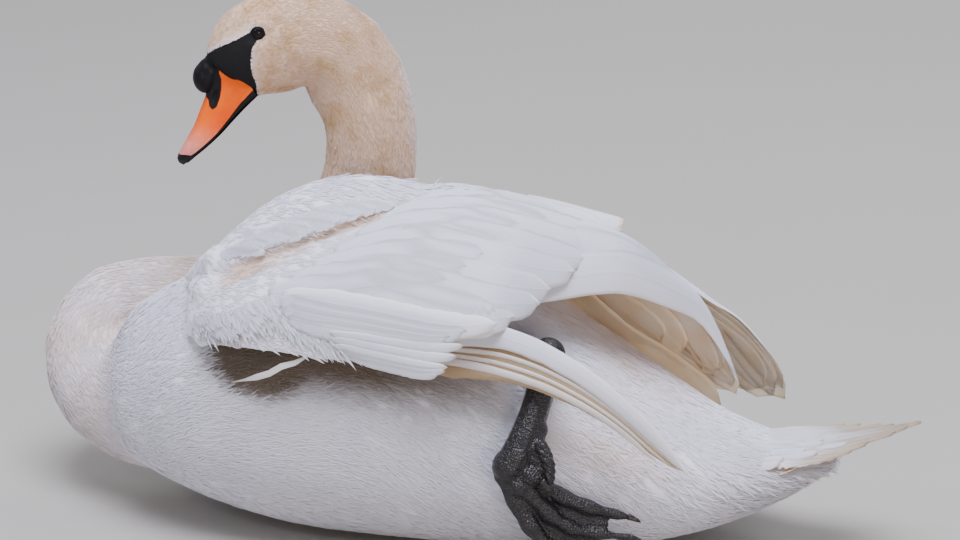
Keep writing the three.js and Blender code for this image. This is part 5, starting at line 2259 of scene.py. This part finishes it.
# name, tuft, cover, seed, tufts a square metre, length, width, lift, stray, and a slot of its own
COATS = (
    Coat("coat_head", Tuft.HAIRY, "cover_head", 1, 260000, 9.0, 3.2, 3.0, 8.0, "head_plumage"),
    Coat("coat_neck", Tuft.HAIRY, "cover_neck", 2, 100000, 10.0, 4.0, 3.0, 10.0, "head_plumage"),
    Coat("coat_neck_fold", Tuft.HAIRY, "cover_fold", 3, 68000, 12.0, 4.6, 2.0, 9.0, "head_plumage"),
    Coat("coat_breast", Tuft.WISP, "cover_breast", 4, 70000, 19.0, 7.0, 2.0, 11.0),
    Coat("coat_flank_left", Tuft.WISP, "cover_left", 5, 42000, 20.0, 8.0, 2.0, 12.0),
    Coat("coat_flank_right", Tuft.WISP, "cover_right", 6, 36000, 20.0, 8.0, 2.0, 12.0),
)
BASE_COAT = Coat("coat", Tuft.WISP, "cover", 15, 42000, 17.0, 8.2, 0.5, 4.5, softness=1.0)


# ---- Stage ----


@dataclass
class Studio:
    """Floor, soft lights and the camera."""

    aim: Place = (0.0164, -0.00557, 0.252)
    stand: Place = (0.9062, -4.1918, 1.6426)
    lens: float = 180.56
    film: float = 36.0
    # lamp: place, aim, size, power, colour
    lamps: tuple[tuple[Place, Place, float, float, Place], ...] = (
        ((0.1, -0.9, 3.5), (0.0, 0.0, 0.2), 2.2, 225.0, (0.87, 0.875, 1.0)),
        ((1.8, -2.9, 0.42), (0.2, 0.0, 0.2), 1.2, 36.0, (1.0, 0.82, 0.66)),
        ((0.6, 2.6, 2.4), (0.0, 0.0, 0.3), 1.8, 36.0, (0.96, 0.97, 1.0)),
        ((-1.1, -2.3, 1.9), (-0.24, 0.03, 0.45), 0.16, 6.0, (1.0, 1.0, 1.0)),
    )
    sky: Colour = opaque(0.86, 0.88, 1.0)
    sky_strength: float = 0.56
    floor_half: float = 9.0

    def build(self) -> None:
        """Sets floor, world, lamps and camera."""
        corners = np.array([[-1, -1, 0], [1, -1, 0], [1, 1, 0], [-1, 1, 0]]) * self.floor_half
        floor = mesh_object("floor", corners, np.array([[0, 1, 2, 3]]))
        floor.data.materials.append(FLOOR.material())
        world = bpy.context.scene.world or bpy.data.worlds.new("studio")
        bpy.context.scene.world = world
        world.use_nodes = True
        back = world.node_tree.nodes["Background"]
        back.inputs["Color"].default_value = self.sky
        back.inputs["Strength"].default_value = self.sky_strength
        for number, (place, aim, size, power, colour) in enumerate(self.lamps):
            light = bpy.data.lights.new(f"softbox_{number}", "AREA")
            light.size = size
            light.energy = power
            light.color = colour
            self.aimed(light, place, aim)
        camera = bpy.data.cameras.new("camera")
        camera.lens = self.lens
        camera.sensor_width = self.film
        bpy.context.scene.camera = self.aimed(camera, self.stand, self.aim)

    @staticmethod
    def aimed(data: ID, place: Place, aim: Place) -> Object:
        """Places a light or camera and turns it towards a point."""
        thing = linked(bpy.data.objects.new(data.name, data))
        thing.location = place
        thing.rotation_euler = (Vector(aim) - Vector(place)).to_track_quat("-Z", "Y").to_euler()
        return thing


def main() -> None:
    """Builds the stage and every piece of the bird in order."""
    logging.basicConfig(level=logging.INFO, format="%(name)s: %(message)s")
    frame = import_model()
    Studio().build()
    skin = Skin(frame).build()
    Eyes().build()
    Bill().build()
    Knob().build()
    near, far = LeftWing(), RightWing()
    near.build()
    far.build()
    Tail().build()
    bases = [
        WingBase("wing_left_base", near.base_nodes, SHOULDER_FRONT, SHOULDER_FOLD).build(frame),
        WingBase("wing_right_base", far.base_nodes).build(frame),
    ]
    LEFT_LEG.build(frame)
    RIGHT_LEG.build(frame)
    for coat in COATS:
        coat.build(skin)
    for seed, base in enumerate(bases, BASE_COAT.seed):
        replace(BASE_COAT, name=f"coat_{base.name}", seed=seed).build(base)


if __name__ == "__main__":
    main()
